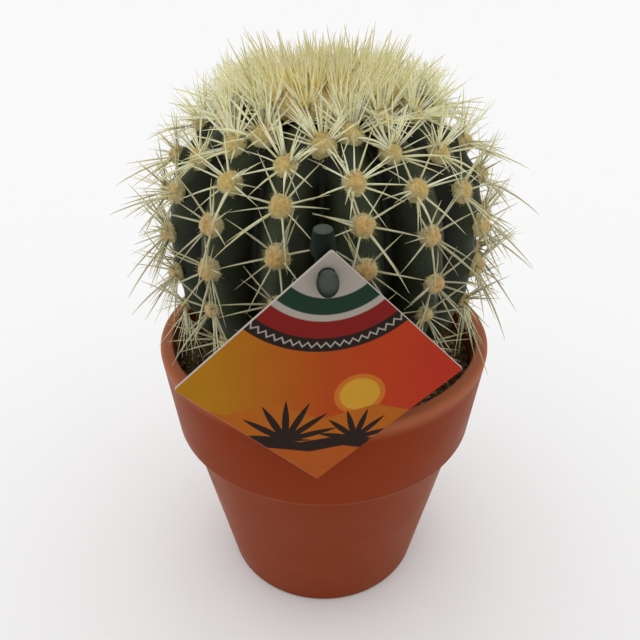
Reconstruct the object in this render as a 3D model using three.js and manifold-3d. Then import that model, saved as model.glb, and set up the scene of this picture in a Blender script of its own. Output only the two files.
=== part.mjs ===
// A round golden cactus growing in a terracotta-coloured plastic pot, with a card tag that hangs
// on a stake pushed into the soil in front of it.
// Millimetres, +Z up, the front faces -Y. The origin is the middle of the pot's underside.
import * as THREE from "three";
import { mergeVertices } from "three/addons/utils/BufferGeometryUtils.js";
import Module from "manifold-3d";

const wasm = await Module();
wasm.setup();

// Clearance that touching pieces keep.
const GAP = 0.3;

// Pot: a tall collar under the rim, and a narrower body that tapers to the base.
const POT_HEIGHT = 75.7;
const RIM_RADIUS = 42.5;
const RIM_WIDTH = 3;
const RIM_ROUND = 1.2;
const COLLAR_BOTTOM_Z = 50.2;
const COLLAR_BOTTOM_RADIUS = 40.3;
const COLLAR_ROUND = 1.3;
const BODY_TOP_RADIUS = 37.8;
const BASE_RADIUS = 28.5;
const BASE_ROUND = 1.2;
const WALL = 2.5;
const FLOOR_TOP_Z = 3.4;
const POT_SIDES = 32;
// Underside: a flat pad in the middle and a standing ring, with the drain holes between them.
const PAD_RADIUS = 9.5;
const GROOVE_RADIUS = 22.5;
const GROOVE_DEPTH = 1.4;
const DRAIN_HOLES = 6;
const DRAIN_HOLE_RADIUS = 2.8;

// Soil: fills the pot to a few millimetres under the rim.
const SOIL_Z = 68.6;
const SOIL_BUMP = 0.6;
const SOIL_SIDES = 28;

// Stem: a globe, flatter above its widest level, with ribs that carry the areoles.
const STEM_CENTRE_Z = 104.8;
const STEM_RADIUS = 36.2;
const STEM_TOP_HEIGHT = 31.2;
const STEM_TOP_POWER = 2.3;
const STEM_ROOT_HEIGHT = 42;
const DIMPLE_DEPTH = 1.6;
const DIMPLE_RADIUS = 9;
const RIBS = 14;
const FIRST_RIB_DEG = -14.4;
const FURROW_DEPTH = 6.8;
const TUBERCLE_HEIGHT = 1.9;

// The areoles follow one another along a rib, and crowd together above CROWDING_ROW.
// From one rib to the next the rows climb by ROW_SHIFT of a row.
const AREOLE_SPACING = 9.3;
const CROWDING_ROW = 3;
const ROW_SHIFT = -5 / 14;
const FIRST_ROW = 0.76;
const LOWEST_ROW = -2.15;

// Areoles: felt pads with a ring of spreading spines and one that stands out.
const AREOLE_RADIUS = 2.7;
const AREOLE_HEIGHT = 1.9;
const RING_SPINES = 6;
const RING_SPINE_LENGTH = 12.6;
const RING_SPINE_LIFT_DEG = 22;
const STANDING_SPINE_LENGTH = 14;
const STANDING_SPINE_LIFT_DEG = 64;
// Between these rows the spines change to the bristly, upright ones round the crown.
const UPPER_ROWS = [1.8, 3.8];
const UPPER_LIFT_DEG = 22;
const UPPER_SHORTENING = 2.5;
const SPINE_RADIUS = 0.5;
const SPINE_ROOT = 1.2;

// Crown: the youngest areoles run together in a cap of wool full of upright spines.
const CROWN_RADIUS = 15.5;
const CROWN_RIM_THICKNESS = 1;
const CROWN_THICKNESS = 3;
const CROWN_SIDES = 24;
const CROWN_SPINES = 200;
const CROWN_SPINE_LENGTH = 11;

// Tag: a square card hung by one corner, leaning just in front of the pot's rim.
const TAG_SIDE = 40;
const TAG_THICKNESS = 0.6;
const TAG_CORNER_ROUND = 1;
const TAG_CENTRE = new THREE.Vector3(-0.5, -45.3, 91.6);
const TAG_LEAN_DEG = 4.2;
const TAG_ROLL_DEG = 2;
const TAG_TURN_DEG = 9.3;
const TAG_HOLE = new THREE.Vector3(-0.6, 0, 23.4);
const TAG_HOLE_RADIUS = 1.6;

// Stake: a round stem with a thicker head, and a button on a peg that goes through the tag's hole.
const STAKE_SOIL_POINT = new THREE.Vector3(-0.4, -36.2, SOIL_Z);
const STAKE_TO_TAG = 3.7;
const STAKE_LENGTH = 85;
const STAKE_HEAD_ABOVE_PEG = 7.2;
const STAKE_RADIUS = 1.5;
const STAKE_POINT_LENGTH = 24;
const STAKE_HEAD_TOP_RADIUS = 2.1;
const STAKE_HEAD_RADIUS = 2.6;
const STAKE_HEAD_HEIGHT = 8;
const PEG_RADIUS = 1.2;
const BUTTON_RADIUS = 2.3;
const BUTTON_STRETCH = 1.25;
const BUTTON_LENGTH = 2.8;

const radians = THREE.MathUtils.degToRad;
const lerp = THREE.MathUtils.lerp;
const vector = (x, y, z) => new THREE.Vector3(x, y, z);

// A repeatable draw between 0 and 1 for a numbered spine.
function draw(number) {
  const value = Math.sin(number * 12.9898 + 4.1414) * 43758.5453;
  return value - Math.floor(value);
}

// A closed three.js geometry as a solid.
function solidOf(geometry) {
  const bare = geometry.clone();
  bare.deleteAttribute("normal");
  bare.deleteAttribute("uv");
  const merged = mergeVertices(bare, 1e-4);
  const corners = merged.index.array;
  const kept = [];
  for (let i = 0; i < corners.length; i += 3) {
    const [a, b, c] = corners.slice(i, i + 3);
    if (a !== b && b !== c && c !== a) kept.push(a, b, c);
  }
  const vertProperties = new Float32Array(merged.attributes.position.array);
  const triVerts = new Uint32Array(kept);
  return new wasm.Manifold(new wasm.Mesh({ numProp: 3, vertProperties, triVerts }));
}

function geometryOf(solid) {
  const mesh = solid.getMesh();
  const geometry = new THREE.BufferGeometry();
  geometry.setAttribute("position", new THREE.BufferAttribute(mesh.vertProperties.slice(), 3));
  geometry.setIndex(new THREE.BufferAttribute(mesh.triVerts.slice(), 1));
  geometry.computeVertexNormals();
  return geometry;
}

// Joins solids two by two, so that no join has to work through the whole pile.
function joined(solids) {
  if (solids.length === 1) return solids[0];
  const half = Math.ceil(solids.length / 2);
  return joined(solids.slice(0, half)).add(joined(solids.slice(half)));
}

// A solid of revolution round Z. The [radius, z] points run outwards, up and back to the axis.
function turned(profile, sides) {
  const points = profile.map(([radius, z]) => new THREE.Vector2(radius, z));
  return new THREE.LatheGeometry(points, sides).rotateX(Math.PI / 2);
}

// Points on a quarter round about [radius, z], from one angle to another in degrees.
function rounded(radius, z, size, from, to, steps = 2) {
  const points = [];
  for (let i = 0; i <= steps; i += 1) {
    const angle = radians(lerp(from, to, i / steps));
    points.push([radius + size * Math.cos(angle), z + size * Math.sin(angle)]);
  }
  return points;
}

// Heights where the pot's inner wall changes slope, with its radius there, from the top down.
const POT_INSIDE = [
  [COLLAR_BOTTOM_RADIUS - WALL, COLLAR_BOTTOM_Z + WALL],
  [BODY_TOP_RADIUS - WALL, COLLAR_BOTTOM_Z - 1],
  [BASE_RADIUS - WALL + 0.2, FLOOR_TOP_Z + 1],
  [BASE_RADIUS - WALL - 0.8, FLOOR_TOP_Z],
];

function makePot() {
  const lipZ = POT_HEIGHT - RIM_ROUND;
  const profile = [
    [0, 0],
    [PAD_RADIUS, 0],
    [PAD_RADIUS + GROOVE_DEPTH, GROOVE_DEPTH],
    [GROOVE_RADIUS, GROOVE_DEPTH],
    [GROOVE_RADIUS + GROOVE_DEPTH, 0],
    ...rounded(BASE_RADIUS - BASE_ROUND, BASE_ROUND, BASE_ROUND, -90, 0),
    [BODY_TOP_RADIUS, COLLAR_BOTTOM_Z],
    ...rounded(COLLAR_BOTTOM_RADIUS - COLLAR_ROUND, COLLAR_BOTTOM_Z + COLLAR_ROUND, COLLAR_ROUND, -80, 0),
    ...rounded(RIM_RADIUS - RIM_ROUND, lipZ, RIM_ROUND, 0, 90),
    ...rounded(RIM_RADIUS - RIM_WIDTH + RIM_ROUND, lipZ, RIM_ROUND, 90, 180),
    ...POT_INSIDE,
    [0, FLOOR_TOP_Z],
  ];
  let pot = solidOf(turned(profile, POT_SIDES));
  const holeCircle = (PAD_RADIUS + GROOVE_RADIUS) / 2;
  for (let i = 0; i < DRAIN_HOLES; i += 1) {
    const angle = ((i + 0.5) / DRAIN_HOLES) * 2 * Math.PI;
    const drill = new THREE.CylinderGeometry(DRAIN_HOLE_RADIUS, DRAIN_HOLE_RADIUS, 4 * FLOOR_TOP_Z, 10);
    drill.rotateX(Math.PI / 2);
    drill.translate(holeCircle * Math.cos(angle), holeCircle * Math.sin(angle), 0);
    pot = pot.subtract(solidOf(drill));
  }
  return pot;
}

// One step along the stem's outline, as its radius and its height over the widest level.
function outlineStep(angle) {
  const power = angle > 0 ? 2 / STEM_TOP_POWER : 1;
  const height = angle > 0 ? STEM_TOP_HEIGHT : -STEM_ROOT_HEIGHT;
  return [STEM_RADIUS * Math.cos(angle) ** power, height * Math.abs(Math.sin(angle)) ** power];
}

// The outline from the widest level up to the apex, or down to the root, with distances.
function walkOutline(direction) {
  const steps = 400;
  const walked = [{ distance: 0, radius: STEM_RADIUS, height: 0 }];
  for (let i = 1; i <= steps; i += 1) {
    const [radius, height] = outlineStep((direction * Math.PI * i) / steps / 2);
    const last = walked[walked.length - 1];
    const length = Math.hypot(radius - last.radius, height - last.height);
    walked.push({ distance: last.distance + length, radius, height });
  }
  return walked;
}

const OUTLINE_UP = walkOutline(1);
const OUTLINE_DOWN = walkOutline(-1);
const APEX_DISTANCE = OUTLINE_UP[OUTLINE_UP.length - 1].distance;

// The outline's radius, height and slope at a distance above (or, negative, below) the widest level.
function outlineAt(distance) {
  const walked = distance < 0 ? OUTLINE_DOWN : OUTLINE_UP;
  const reach = Math.min(Math.abs(distance), walked[walked.length - 1].distance - 1e-6);
  const next = walked.findIndex((step) => step.distance > reach);
  const [a, b] = [walked[next - 1], walked[next]];
  const along = (reach - a.distance) / (b.distance - a.distance);
  const length = (b.distance - a.distance) * (distance < 0 ? -1 : 1);
  const radius = lerp(a.radius, b.radius, along);
  const dimple = distance < 0 ? 0 : DIMPLE_DEPTH * Math.exp(-((radius / DIMPLE_RADIUS) ** 2));
  return {
    radius,
    z: STEM_CENTRE_Z + lerp(a.height, b.height, along) - dimple,
    outward: [(b.height - a.height) / length, (a.radius - b.radius) / length],
  };
}

// Height of the outline's upper half at a radius.
function topHeightAt(radius) {
  const step = OUTLINE_UP.find((candidate) => candidate.radius <= radius + 1e-6);
  return outlineAt(step.distance).z;
}

// How far up the outline a row of areoles is, counted from the widest level.
function rowDistance(row) {
  if (row <= CROWDING_ROW) return row * AREOLE_SPACING;
  const left = APEX_DISTANCE - CROWDING_ROW * AREOLE_SPACING;
  return APEX_DISTANCE - left * Math.exp(((CROWDING_ROW - row) * AREOLE_SPACING) / left);
}

// Where the rows of a rib lie between two whole numbers.
function rowOffset(rib) {
  const offset = FIRST_ROW + rib * ROW_SHIFT;
  return offset - Math.floor(offset);
}

// A point of the ribbed surface at a turn from the front and a row number.
function stemPoint(turn, row) {
  const ribTurn = turn - radians(FIRST_RIB_DEG);
  const rib = Math.round((ribTurn * RIBS) / (2 * Math.PI));
  const crest = Math.abs(Math.cos((ribTurn * RIBS) / 2));
  const outline = outlineAt(rowDistance(row));
  const share = outline.radius / STEM_RADIUS;
  const rise = 0.5 * Math.cos(2 * Math.PI * (row - rowOffset(rib)));
  const fade = THREE.MathUtils.smoothstep(outline.z, SOIL_Z, SOIL_Z + 14);
  const furrow = FURROW_DEPTH * (1 - crest ** 0.9) * share * (0.12 + 0.88 * fade);
  const lift = TUBERCLE_HEIGHT * rise * crest * crest * share * fade - furrow;
  const radius = outline.radius + lift * outline.outward[0];
  const z = outline.z + lift * outline.outward[1];
  return vector(radius * Math.sin(turn), -radius * Math.cos(turn), z);
}

// The ribbed body: two rings of points for each row, moved up or down along each rib so that
// one of them runs through its areoles.
function makeStemBody() {
  const rows = [];
  for (let row = 4.5; row > -3.4; row -= 0.5) rows.push(row);
  rows.push(-4.2, -5, -5.7, -6.3);
  const columns = RIBS * 4;
  const globe = new THREE.SphereGeometry(1, columns, rows.length + 1);
  const position = globe.getAttribute("position");
  rows.forEach((row, level) => {
    for (let column = 0; column <= columns; column += 1) {
      const rib = (column % columns) / 4;
      const turn = radians(FIRST_RIB_DEG) + (rib / RIBS) * 2 * Math.PI;
      const offset = (2 * rowOffset(rib)) % 1;
      const shift = (offset > 0.5 ? offset - 1 : offset) / 2;
      const settle = row < -3.4 ? 0 : 1;
      const point = stemPoint(turn, row + shift * settle);
      position.setXYZ((level + 1) * (columns + 1) + column, point.x, point.y, point.z);
    }
  });
  const lastRing = (rows.length + 1) * (columns + 1);
  for (let column = 0; column <= columns; column += 1) {
    position.setXYZ(column, 0, 0, outlineAt(APEX_DISTANCE).z);
    position.setXYZ(lastRing + column, 0, 0, STEM_CENTRE_Z - STEM_ROOT_HEIGHT);
  }
  return solidOf(globe);
}

// A three-sided needle from its root to its tip.
function needle(root, tip, radius) {
  const along = tip.clone().sub(root);
  const cone = new THREE.ConeGeometry(radius, along.length(), 3, 1);
  cone.translate(0, along.length() / 2, 0);
  cone.applyQuaternion(new THREE.Quaternion().setFromUnitVectors(vector(0, 1, 0), along.normalize()));
  cone.translate(root.x, root.y, root.z);
  return solidOf(cone);
}

// The frame of an areole: its middle, the way out, the way up the rib and the way across it.
function areoleFrame(rib, row) {
  const turn = radians(FIRST_RIB_DEG) + (rib / RIBS) * 2 * Math.PI;
  const [outwards, upwards] = outlineAt(rowDistance(row)).outward;
  const facing = vector(Math.sin(turn), -Math.cos(turn), 0);
  const out = facing.clone().multiplyScalar(outwards).add(vector(0, 0, upwards));
  const up = facing.clone().multiplyScalar(-upwards).add(vector(0, 0, outwards));
  return { middle: stemPoint(turn, row), out, up, across: up.clone().cross(out) };
}

// How far the ring of spines of a numbered areole is turned round.
function ringTurn(number) {
  return 1.7 * number;
}

// A felt pad sunk in the stem, with a sloping side for each spine of the ring.
function areolePad({ middle, out, up, across }, number) {
  const profile = [
    [0, -1.8],
    [AREOLE_RADIUS, 0.1],
    [0, AREOLE_HEIGHT],
  ];
  const dome = turned(profile, RING_SPINES);
  dome.rotateZ(Math.PI / 2 - Math.PI / RING_SPINES + ringTurn(number));
  dome.applyMatrix4(new THREE.Matrix4().makeBasis(across, up, out));
  dome.translate(middle.x, middle.y, middle.z);
  return solidOf(dome);
}

// The spines of one areole as { root, along, sideways, length }: the ring, then the standing one.
// Those of the ring come out of the pad's sides, and the standing one out of its top.
function spinesOf(frame, row, number) {
  const spines = [];
  const upper = THREE.MathUtils.smoothstep(row, UPPER_ROWS[0], UPPER_ROWS[1]);
  for (let i = 0; i <= RING_SPINES; i += 1) {
    const stands = i === RING_SPINES;
    const seed = number * 40 + i;
    const round = (2 * Math.PI * (i + 0.3 * (draw(seed) - 0.5))) / RING_SPINES + ringTurn(number);
    let lift = stands ? STANDING_SPINE_LIFT_DEG : RING_SPINE_LIFT_DEG + UPPER_LIFT_DEG * upper;
    let length = stands ? STANDING_SPINE_LENGTH - UPPER_SHORTENING * upper : RING_SPINE_LENGTH;
    lift += 14 * (draw(seed + 0.3) - 0.5);
    length += 2.4 * (draw(seed + 0.6) - 0.5);
    const sideways = frame.across.clone().multiplyScalar(Math.cos(round));
    sideways.addScaledVector(frame.up, Math.sin(round));
    const along = frame.out.clone().multiplyScalar(Math.sin(radians(lift)));
    along.addScaledVector(sideways, Math.cos(radians(lift)));
    const root = frame.middle.clone().addScaledVector(along, -SPINE_ROOT);
    root.addScaledVector(frame.out, AREOLE_HEIGHT * (stands ? 1 : 0.4));
    root.addScaledVector(sideways, stands ? 0 : AREOLE_RADIUS * 0.52);
    spines.push({ root, along, sideways, length: length + SPINE_ROOT });
  }
  return spines;
}

// True where a needle keeps the clearance to all of the solids.
function isClear(root, tip, solids) {
  const probe = needle(root, tip, SPINE_RADIUS + GAP);
  return solids.every((solid) => probe.intersect(solid).getMesh().triVerts.length === 0);
}

// A spine as a needle, bent aside or at last shortened where it would reach one of the solids.
function bentNeedle({ root, along, sideways, length }, frame, solids) {
  const bends = [
    along,
    along.clone().addScaledVector(sideways, 0.8),
    along.clone().addScaledVector(sideways, 2.5),
    along.clone().addScaledVector(frame.out, 0.7),
    along.clone().addScaledVector(frame.up, 0.8),
    along.clone().addScaledVector(frame.up, 2.5),
  ];
  for (const share of [1, 0.75, 0.5]) {
    for (const bend of bends) {
      const tip = bend.clone().setLength(length * share).add(root);
      if (isClear(root, tip, solids)) return needle(root, tip, SPINE_RADIUS);
    }
  }
  return null;
}

// The [rib, row] of each areole that stands apart, below the crown.
function areolePlaces() {
  const places = [];
  for (let rib = 0; rib < RIBS; rib += 1) {
    for (let whole = -3; whole < 6; whole += 1) {
      const row = whole + rowOffset(rib);
      const inCrown = row > 0 && outlineAt(rowDistance(row)).radius < CROWN_RADIUS + AREOLE_RADIUS;
      if (row >= LOWEST_ROW && !inCrown) places.push([rib, row]);
    }
  }
  return places;
}

function makeStem(obstacles) {
  const pieces = [makeStemBody()];
  areolePlaces().forEach(([rib, row], number) => {
    const frame = areoleFrame(rib, row);
    pieces.push(areolePad(frame, number));
    for (const spine of spinesOf(frame, row, number)) {
      const made = bentNeedle(spine, frame, obstacles);
      if (made) pieces.push(made);
    }
  });
  return joined(pieces);
}

// The wool cap follows the stem's top, just clear of the highest tubercles under it.
function makeWool() {
  const under = (radius) => topHeightAt(radius) + GAP + 0.1 + (TUBERCLE_HEIGHT / 2) * (radius / STEM_RADIUS);
  const rings = 5;
  const lower = [];
  const upper = [];
  for (let i = 0; i <= rings; i += 1) {
    const radius = (CROWN_RADIUS * i) / rings;
    const thickness = lerp(CROWN_RIM_THICKNESS, CROWN_THICKNESS, Math.sqrt(1 - (i / rings) ** 2));
    lower.push([radius, under(radius)]);
    upper.unshift([radius, under(radius) + thickness]);
  }
  return solidOf(turned([...lower, ...upper], CROWN_SIDES));
}

// The crown's spines are spread evenly over the wool, and lean out more towards its edge.
function makeCrown(wool, obstacles) {
  const pieces = [wool];
  for (let i = 0; i < CROWN_SPINES; i += 1) {
    const share = Math.sqrt((i + 0.5) / CROWN_SPINES);
    const turn = i * Math.PI * (3 - Math.sqrt(5));
    const facing = vector(Math.sin(turn), -Math.cos(turn), 0);
    const root = facing.clone().multiplyScalar(share * (CROWN_RADIUS - 0.8));
    root.z = topHeightAt(share * CROWN_RADIUS) + GAP + 0.7;
    const length = CROWN_SPINE_LENGTH * (0.82 + 0.22 * share + 0.24 * (draw(i + 0.5) - 0.5));
    const lean = 3 + 34 * share + 16 * (draw(i) - 0.5);
    for (const turnAside of [0, -14, 14]) {
      const along = facing.clone().applyAxisAngle(vector(0, 0, 1), radians(2 * turnAside));
      along.multiplyScalar(Math.sin(radians(lean + turnAside)));
      along.z = Math.cos(radians(lean + turnAside));
      const tip = root.clone().addScaledVector(along, length);
      if (isClear(root, tip, obstacles)) {
        pieces.push(needle(root, tip, SPINE_RADIUS));
        break;
      }
    }
  }
  return joined(pieces);
}

// The soil: an uneven top, a bowl that the stem's root sits in and a hole for the stake.
function makeSoil(stakeHole) {
  const rootRadius = (z) => {
    const share = (STEM_CENTRE_Z - z) / STEM_ROOT_HEIGHT;
    return STEM_RADIUS * Math.sqrt(1 - Math.min(share, 1) ** 2);
  };
  const bowlZ = STEM_CENTRE_Z - STEM_ROOT_HEIGHT;
  const bowlRadius = rootRadius(SOIL_Z) + GAP + 0.2;
  const outer = POT_INSIDE.map(([radius, z]) => [radius - GAP, z]);
  const topRadius = lerp(RIM_RADIUS - RIM_WIDTH, COLLAR_BOTTOM_RADIUS - WALL, 0.35) - GAP;
  const top = [0, 0.25, 0.5, 0.75, 1].map((share) => [lerp(topRadius, bowlRadius, share), SOIL_Z]);
  const profile = [
    [0, FLOOR_TOP_Z + GAP],
    [outer[3][0], FLOOR_TOP_Z + GAP],
    ...outer.slice(0, 3).reverse(),
    ...top,
    [rootRadius(bowlZ + 3) + GAP + 0.2, bowlZ + 2.6],
    [rootRadius(bowlZ + 1) + GAP + 0.2, bowlZ + 0.6],
    [0, bowlZ - GAP - 0.1],
  ];
  const heap = turned(profile, SOIL_SIDES);
  const position = heap.getAttribute("position");
  for (let i = 0; i < position.count; i += 1) {
    const [x, y] = [position.getX(i), position.getY(i)];
    const swell = Math.sin(x * 0.61 + 1.3) * Math.cos(y * 0.53 - 0.4) + 0.4 * Math.sin(x * 1.9 + y * 1.4);
    const isTop = Math.abs(position.getZ(i) - SOIL_Z) < 1e-3 && Math.hypot(x, y) > bowlRadius + 0.5;
    if (isTop) position.setZ(i, SOIL_Z + SOIL_BUMP * swell);
  }
  return solidOf(heap).subtract(stakeHole);
}

// Turns and places something modelled upright, facing -Y, the way the tag hangs.
const TAG_PLACE = new THREE.Matrix4().makeRotationFromEuler(
  new THREE.Euler(radians(TAG_LEAN_DEG), radians(TAG_ROLL_DEG), radians(TAG_TURN_DEG), "ZXY"),
);
TAG_PLACE.setPosition(TAG_CENTRE);

function makeTag() {
  const half = TAG_SIDE / 2;
  const inner = half - TAG_CORNER_ROUND;
  const outline = new THREE.Shape();
  outline.moveTo(-inner, -half);
  outline.lineTo(inner, -half);
  outline.absarc(inner, -inner, TAG_CORNER_ROUND, -Math.PI / 2, 0);
  outline.absarc(inner, inner, TAG_CORNER_ROUND, 0, Math.PI / 2);
  outline.absarc(-inner, inner, TAG_CORNER_ROUND, Math.PI / 2, Math.PI);
  outline.absarc(-inner, -inner, TAG_CORNER_ROUND, Math.PI, 1.5 * Math.PI);
  const sheet = { depth: TAG_THICKNESS, bevelEnabled: false, curveSegments: 3 };
  const card = new THREE.ExtrudeGeometry(outline, sheet);
  card.translate(0, 0, -TAG_THICKNESS / 2);
  card.rotateZ(Math.PI / 4);
  card.rotateX(Math.PI / 2);
  const punch = new THREE.CylinderGeometry(TAG_HOLE_RADIUS, TAG_HOLE_RADIUS, 4, 16);
  punch.translate(TAG_HOLE.x, TAG_HOLE.y, TAG_HOLE.z);
  return solidOf(card.applyMatrix4(TAG_PLACE)).subtract(solidOf(punch.applyMatrix4(TAG_PLACE)));
}

// Where the stake's axis meets the peg, behind the tag's hole, and which way the axis runs.
const PEG_BACK = TAG_HOLE.clone().add(vector(0, STAKE_TO_TAG, 0)).applyMatrix4(TAG_PLACE);
const STAKE_ALONG = PEG_BACK.clone().sub(STAKE_SOIL_POINT).normalize();

// The stake's round shaft, point down, made larger all over by the given margin.
function stakeShaft(margin) {
  const headBottom = STAKE_LENGTH - STAKE_HEAD_HEIGHT;
  const shaft = turned(
    [
      [0, -margin],
      [0.2 + margin, 0],
      [STAKE_RADIUS + margin, STAKE_POINT_LENGTH],
      [STAKE_RADIUS + margin, headBottom - 2],
      [STAKE_HEAD_RADIUS + margin, headBottom],
      [STAKE_HEAD_TOP_RADIUS + 0.1 + margin, STAKE_LENGTH - 0.9],
      [STAKE_HEAD_TOP_RADIUS - 0.4 + margin, STAKE_LENGTH - 0.2],
      [0, STAKE_LENGTH + margin],
    ],
    12,
  );
  const top = PEG_BACK.clone().addScaledVector(STAKE_ALONG, STAKE_HEAD_ABOVE_PEG);
  const tip = top.addScaledVector(STAKE_ALONG, -STAKE_LENGTH);
  shaft.applyQuaternion(new THREE.Quaternion().setFromUnitVectors(vector(0, 0, 1), STAKE_ALONG));
  shaft.translate(tip.x, tip.y, tip.z);
  return solidOf(shaft);
}

// The peg with its button: modelled upright behind a button that faces -Y.
function makeStake() {
  const behind = TAG_THICKNESS / 2 + GAP;
  const peg = new THREE.CylinderGeometry(PEG_RADIUS, PEG_RADIUS, STAKE_TO_TAG + behind + 0.5, 10);
  peg.translate(TAG_HOLE.x, (STAKE_TO_TAG - behind - 0.5) / 2, TAG_HOLE.z);
  const button = turned(
    [
      [0, 0],
      [BUTTON_RADIUS * 0.9, 0],
      [BUTTON_RADIUS, 0.5],
      [BUTTON_RADIUS * 0.85, BUTTON_LENGTH - 0.8],
      [BUTTON_RADIUS * 0.45, BUTTON_LENGTH],
      [0, BUTTON_LENGTH],
    ],
    12,
  );
  button.scale(1, BUTTON_STRETCH, 1);
  button.rotateX(Math.PI / 2);
  button.translate(TAG_HOLE.x, -behind, TAG_HOLE.z);
  const pegged = solidOf(peg.applyMatrix4(TAG_PLACE)).add(solidOf(button.applyMatrix4(TAG_PLACE)));
  return stakeShaft(0).add(pegged);
}

function part(name, solid, colour, roughness) {
  const material = new THREE.MeshStandardMaterial({ color: colour, roughness, metalness: 0 });
  const mesh = new THREE.Mesh(geometryOf(solid), material);
  mesh.name = name;
  return mesh;
}

const pot = makePot();
const soil = makeSoil(stakeShaft(GAP));
const stake = makeStake();
const tag = makeTag();
const wool = makeWool();
const stem = makeStem([pot, soil, stake, tag, wool]);
const crown = makeCrown(wool, [stem]);

const cactusInPot = new THREE.Group();
cactusInPot.add(
  part("pot", pot, "#9c4f38", 0.55),
  part("soil", soil, "#3e3628", 1),
  part("cactus", stem, "#2f3b22", 0.6),
  part("crown", crown, "#cdbd7c", 0.9),
  part("stake", stake, "#2c3a30", 0.45),
  part("tag", tag, "#a5521f", 0.5),
);

export default cactusInPot;
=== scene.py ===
"""A round golden cactus in a terracotta-coloured plastic pot, with a card tag that hangs on a stake."""

import math
from functools import partial

import bpy
import numpy as np
from bpy.props import FloatProperty, FloatVectorProperty, IntProperty, PointerProperty
from mathutils import Matrix, Vector, noise


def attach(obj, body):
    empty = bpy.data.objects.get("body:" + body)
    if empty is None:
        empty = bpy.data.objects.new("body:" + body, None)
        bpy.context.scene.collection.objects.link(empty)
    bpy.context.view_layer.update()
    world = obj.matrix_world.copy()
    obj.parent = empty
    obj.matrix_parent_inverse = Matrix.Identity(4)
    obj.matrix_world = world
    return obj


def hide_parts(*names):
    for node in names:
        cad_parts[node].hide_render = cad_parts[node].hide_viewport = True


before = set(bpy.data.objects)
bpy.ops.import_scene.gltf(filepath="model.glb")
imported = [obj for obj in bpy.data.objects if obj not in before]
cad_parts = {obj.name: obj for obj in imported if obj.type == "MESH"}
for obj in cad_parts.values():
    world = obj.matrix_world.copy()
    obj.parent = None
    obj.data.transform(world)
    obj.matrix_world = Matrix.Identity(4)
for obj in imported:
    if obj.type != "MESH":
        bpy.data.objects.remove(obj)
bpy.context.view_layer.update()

bl_info = {
    "name": "Potted Round Cactus",
    "version": (1, 0, 0),
    "blender": (4, 5, 0),
    "location": "3D View > Sidebar > Cactus",
    "description": "Builds a potted round cactus with its soil, stake and tag",
    "category": "Add Mesh",
}

MM = 0.001
TAU = 2 * math.pi

# The stem's outline in millimetres, as in the part's source: a globe that is flatter above its widest level.
STEM_CENTRE_Z = 104.8
STEM_TOP_HEIGHT = 31.2
STEM_TOP_POWER = 2.3
STEM_ROOT_HEIGHT = 42.0
DIMPLE_DEPTH = 1.6
DIMPLE_RADIUS = 9.0
# The ribs and the rows of areoles on them. Row 0 is at the widest level.
RIBS = 14
FIRST_RIB = math.radians(-14.4)
AREOLE_SPACING = 9.3
CROWDING_ROW = 3.0
ROW_SHIFT = -5 / 14
FIRST_ROW = 0.76
LOWEST_ROW = -2.15
TOPMOST_ROW = 9.5
UPPER_ROWS = (1.8, 3.8)
# Areoles that stray from their place, by rib and whole row: ribs aside and rows up, to a twentieth.
STRAYS = {
    (0, 0): (0, 0.1), (0, 1): (0, 0.1), (0, 2): (-0.05, -0.05), (0, 3): (0.5, -0.5),
    (1, 0): (0, 0.2), (1, 1): (0, 0.1), (1, 2): (-0.05, -0.05), (1, 3): (0.05, 0.15),
    (2, -1): (-0.1, 0.1), (2, 0): (-0.05, -0.1), (2, 1): (-0.1, 0), (2, 2): (-0.15, 0),
    (2, 3): (-0.25, -0.05), (3, 1): (-0.2, -0.05), (3, 2): (-0.4, -0.05),
    (5, 3): (0.3, -0.1), (8, 3): (-0.35, 0.1), (9, 2): (0.1, 0.05),
    (12, -1): (0.1, 0), (12, 0): (0.05, 0), (12, 1): (0.1, 0), (12, 2): (0.2, -0.05),
    (13, -1): (0, 0.05), (13, 0): (0.05, 0.1), (13, 1): (0.05, 0.1), (13, 2): (0.15, 0.05),
    (13, 3): (-0.1, -0.15),
}
# Areoles of ribs that only start at the crown, as rib and row.
LATE_AREOLES = ((-0.65, 3.4), (4.5, 3.4), (7.45, 3.3))
# The wool cap's radius, the radius inside which areoles crowd in the crown, and how high spines may reach.
CAP_RADIUS = 17.2
CROWN_RADIUS = 18.2
HIGHEST_TIP_Z = 147.4
# A felt pad's faces round it and up it.
PAD_SIDES, PAD_RINGS = 14, 6
# A spine's index gives its draws and its kind: the ring's are below STANDING, and each other kind starts
# at its own number.
STANDING, BRUSH, HANGING, FINE, THICKET = 6, 10, 40, 60, 80
# The points of a spine's line that its rod is made from, out of 24, closer together at both ends.
SPINE_PICKS = [0, 3, 8, 13, 18, 21, 23]
# The pot's heights that its neighbours follow, and the soil's radius at its surface.
COLLAR_BOTTOM_Z = 50.2
FLOOR_TOP_Z = 3.4
SOIL_RADIUS = 38.4
# The tag's place and the way it hangs: turned, then leaned, then rolled. Its hole, from its middle.
TAG_CENTRE = Vector((-0.5, -45.3, 91.6))
TAG_TURNS = (("Z", 9.3), ("X", 4.2), ("Y", 2.0))
TAG_HOLE = Vector((-0.6, 0.0, 23.4))
# The stake meets the peg behind the tag's hole, and goes into the soil here.
STAKE_TO_TAG = 3.7
STAKE_SOIL_POINT = Vector((-0.4, -36.2, 68.6))
STAKE_HEAD_ABOVE_PEG = 7.2
# The camera as the photograph has it: its place in metres, where it looks, and its lens in millimetres.
CAMERA_PLACE = (-0.00145, -0.14642, 0.16629)
CAMERA_LOOKS = Vector((0.0025, 0.8544, -0.5197))
FOCAL_LENGTH = 36.56
# How bright the room looks behind the floor.
SEEN_ROOM = 0.92


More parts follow.
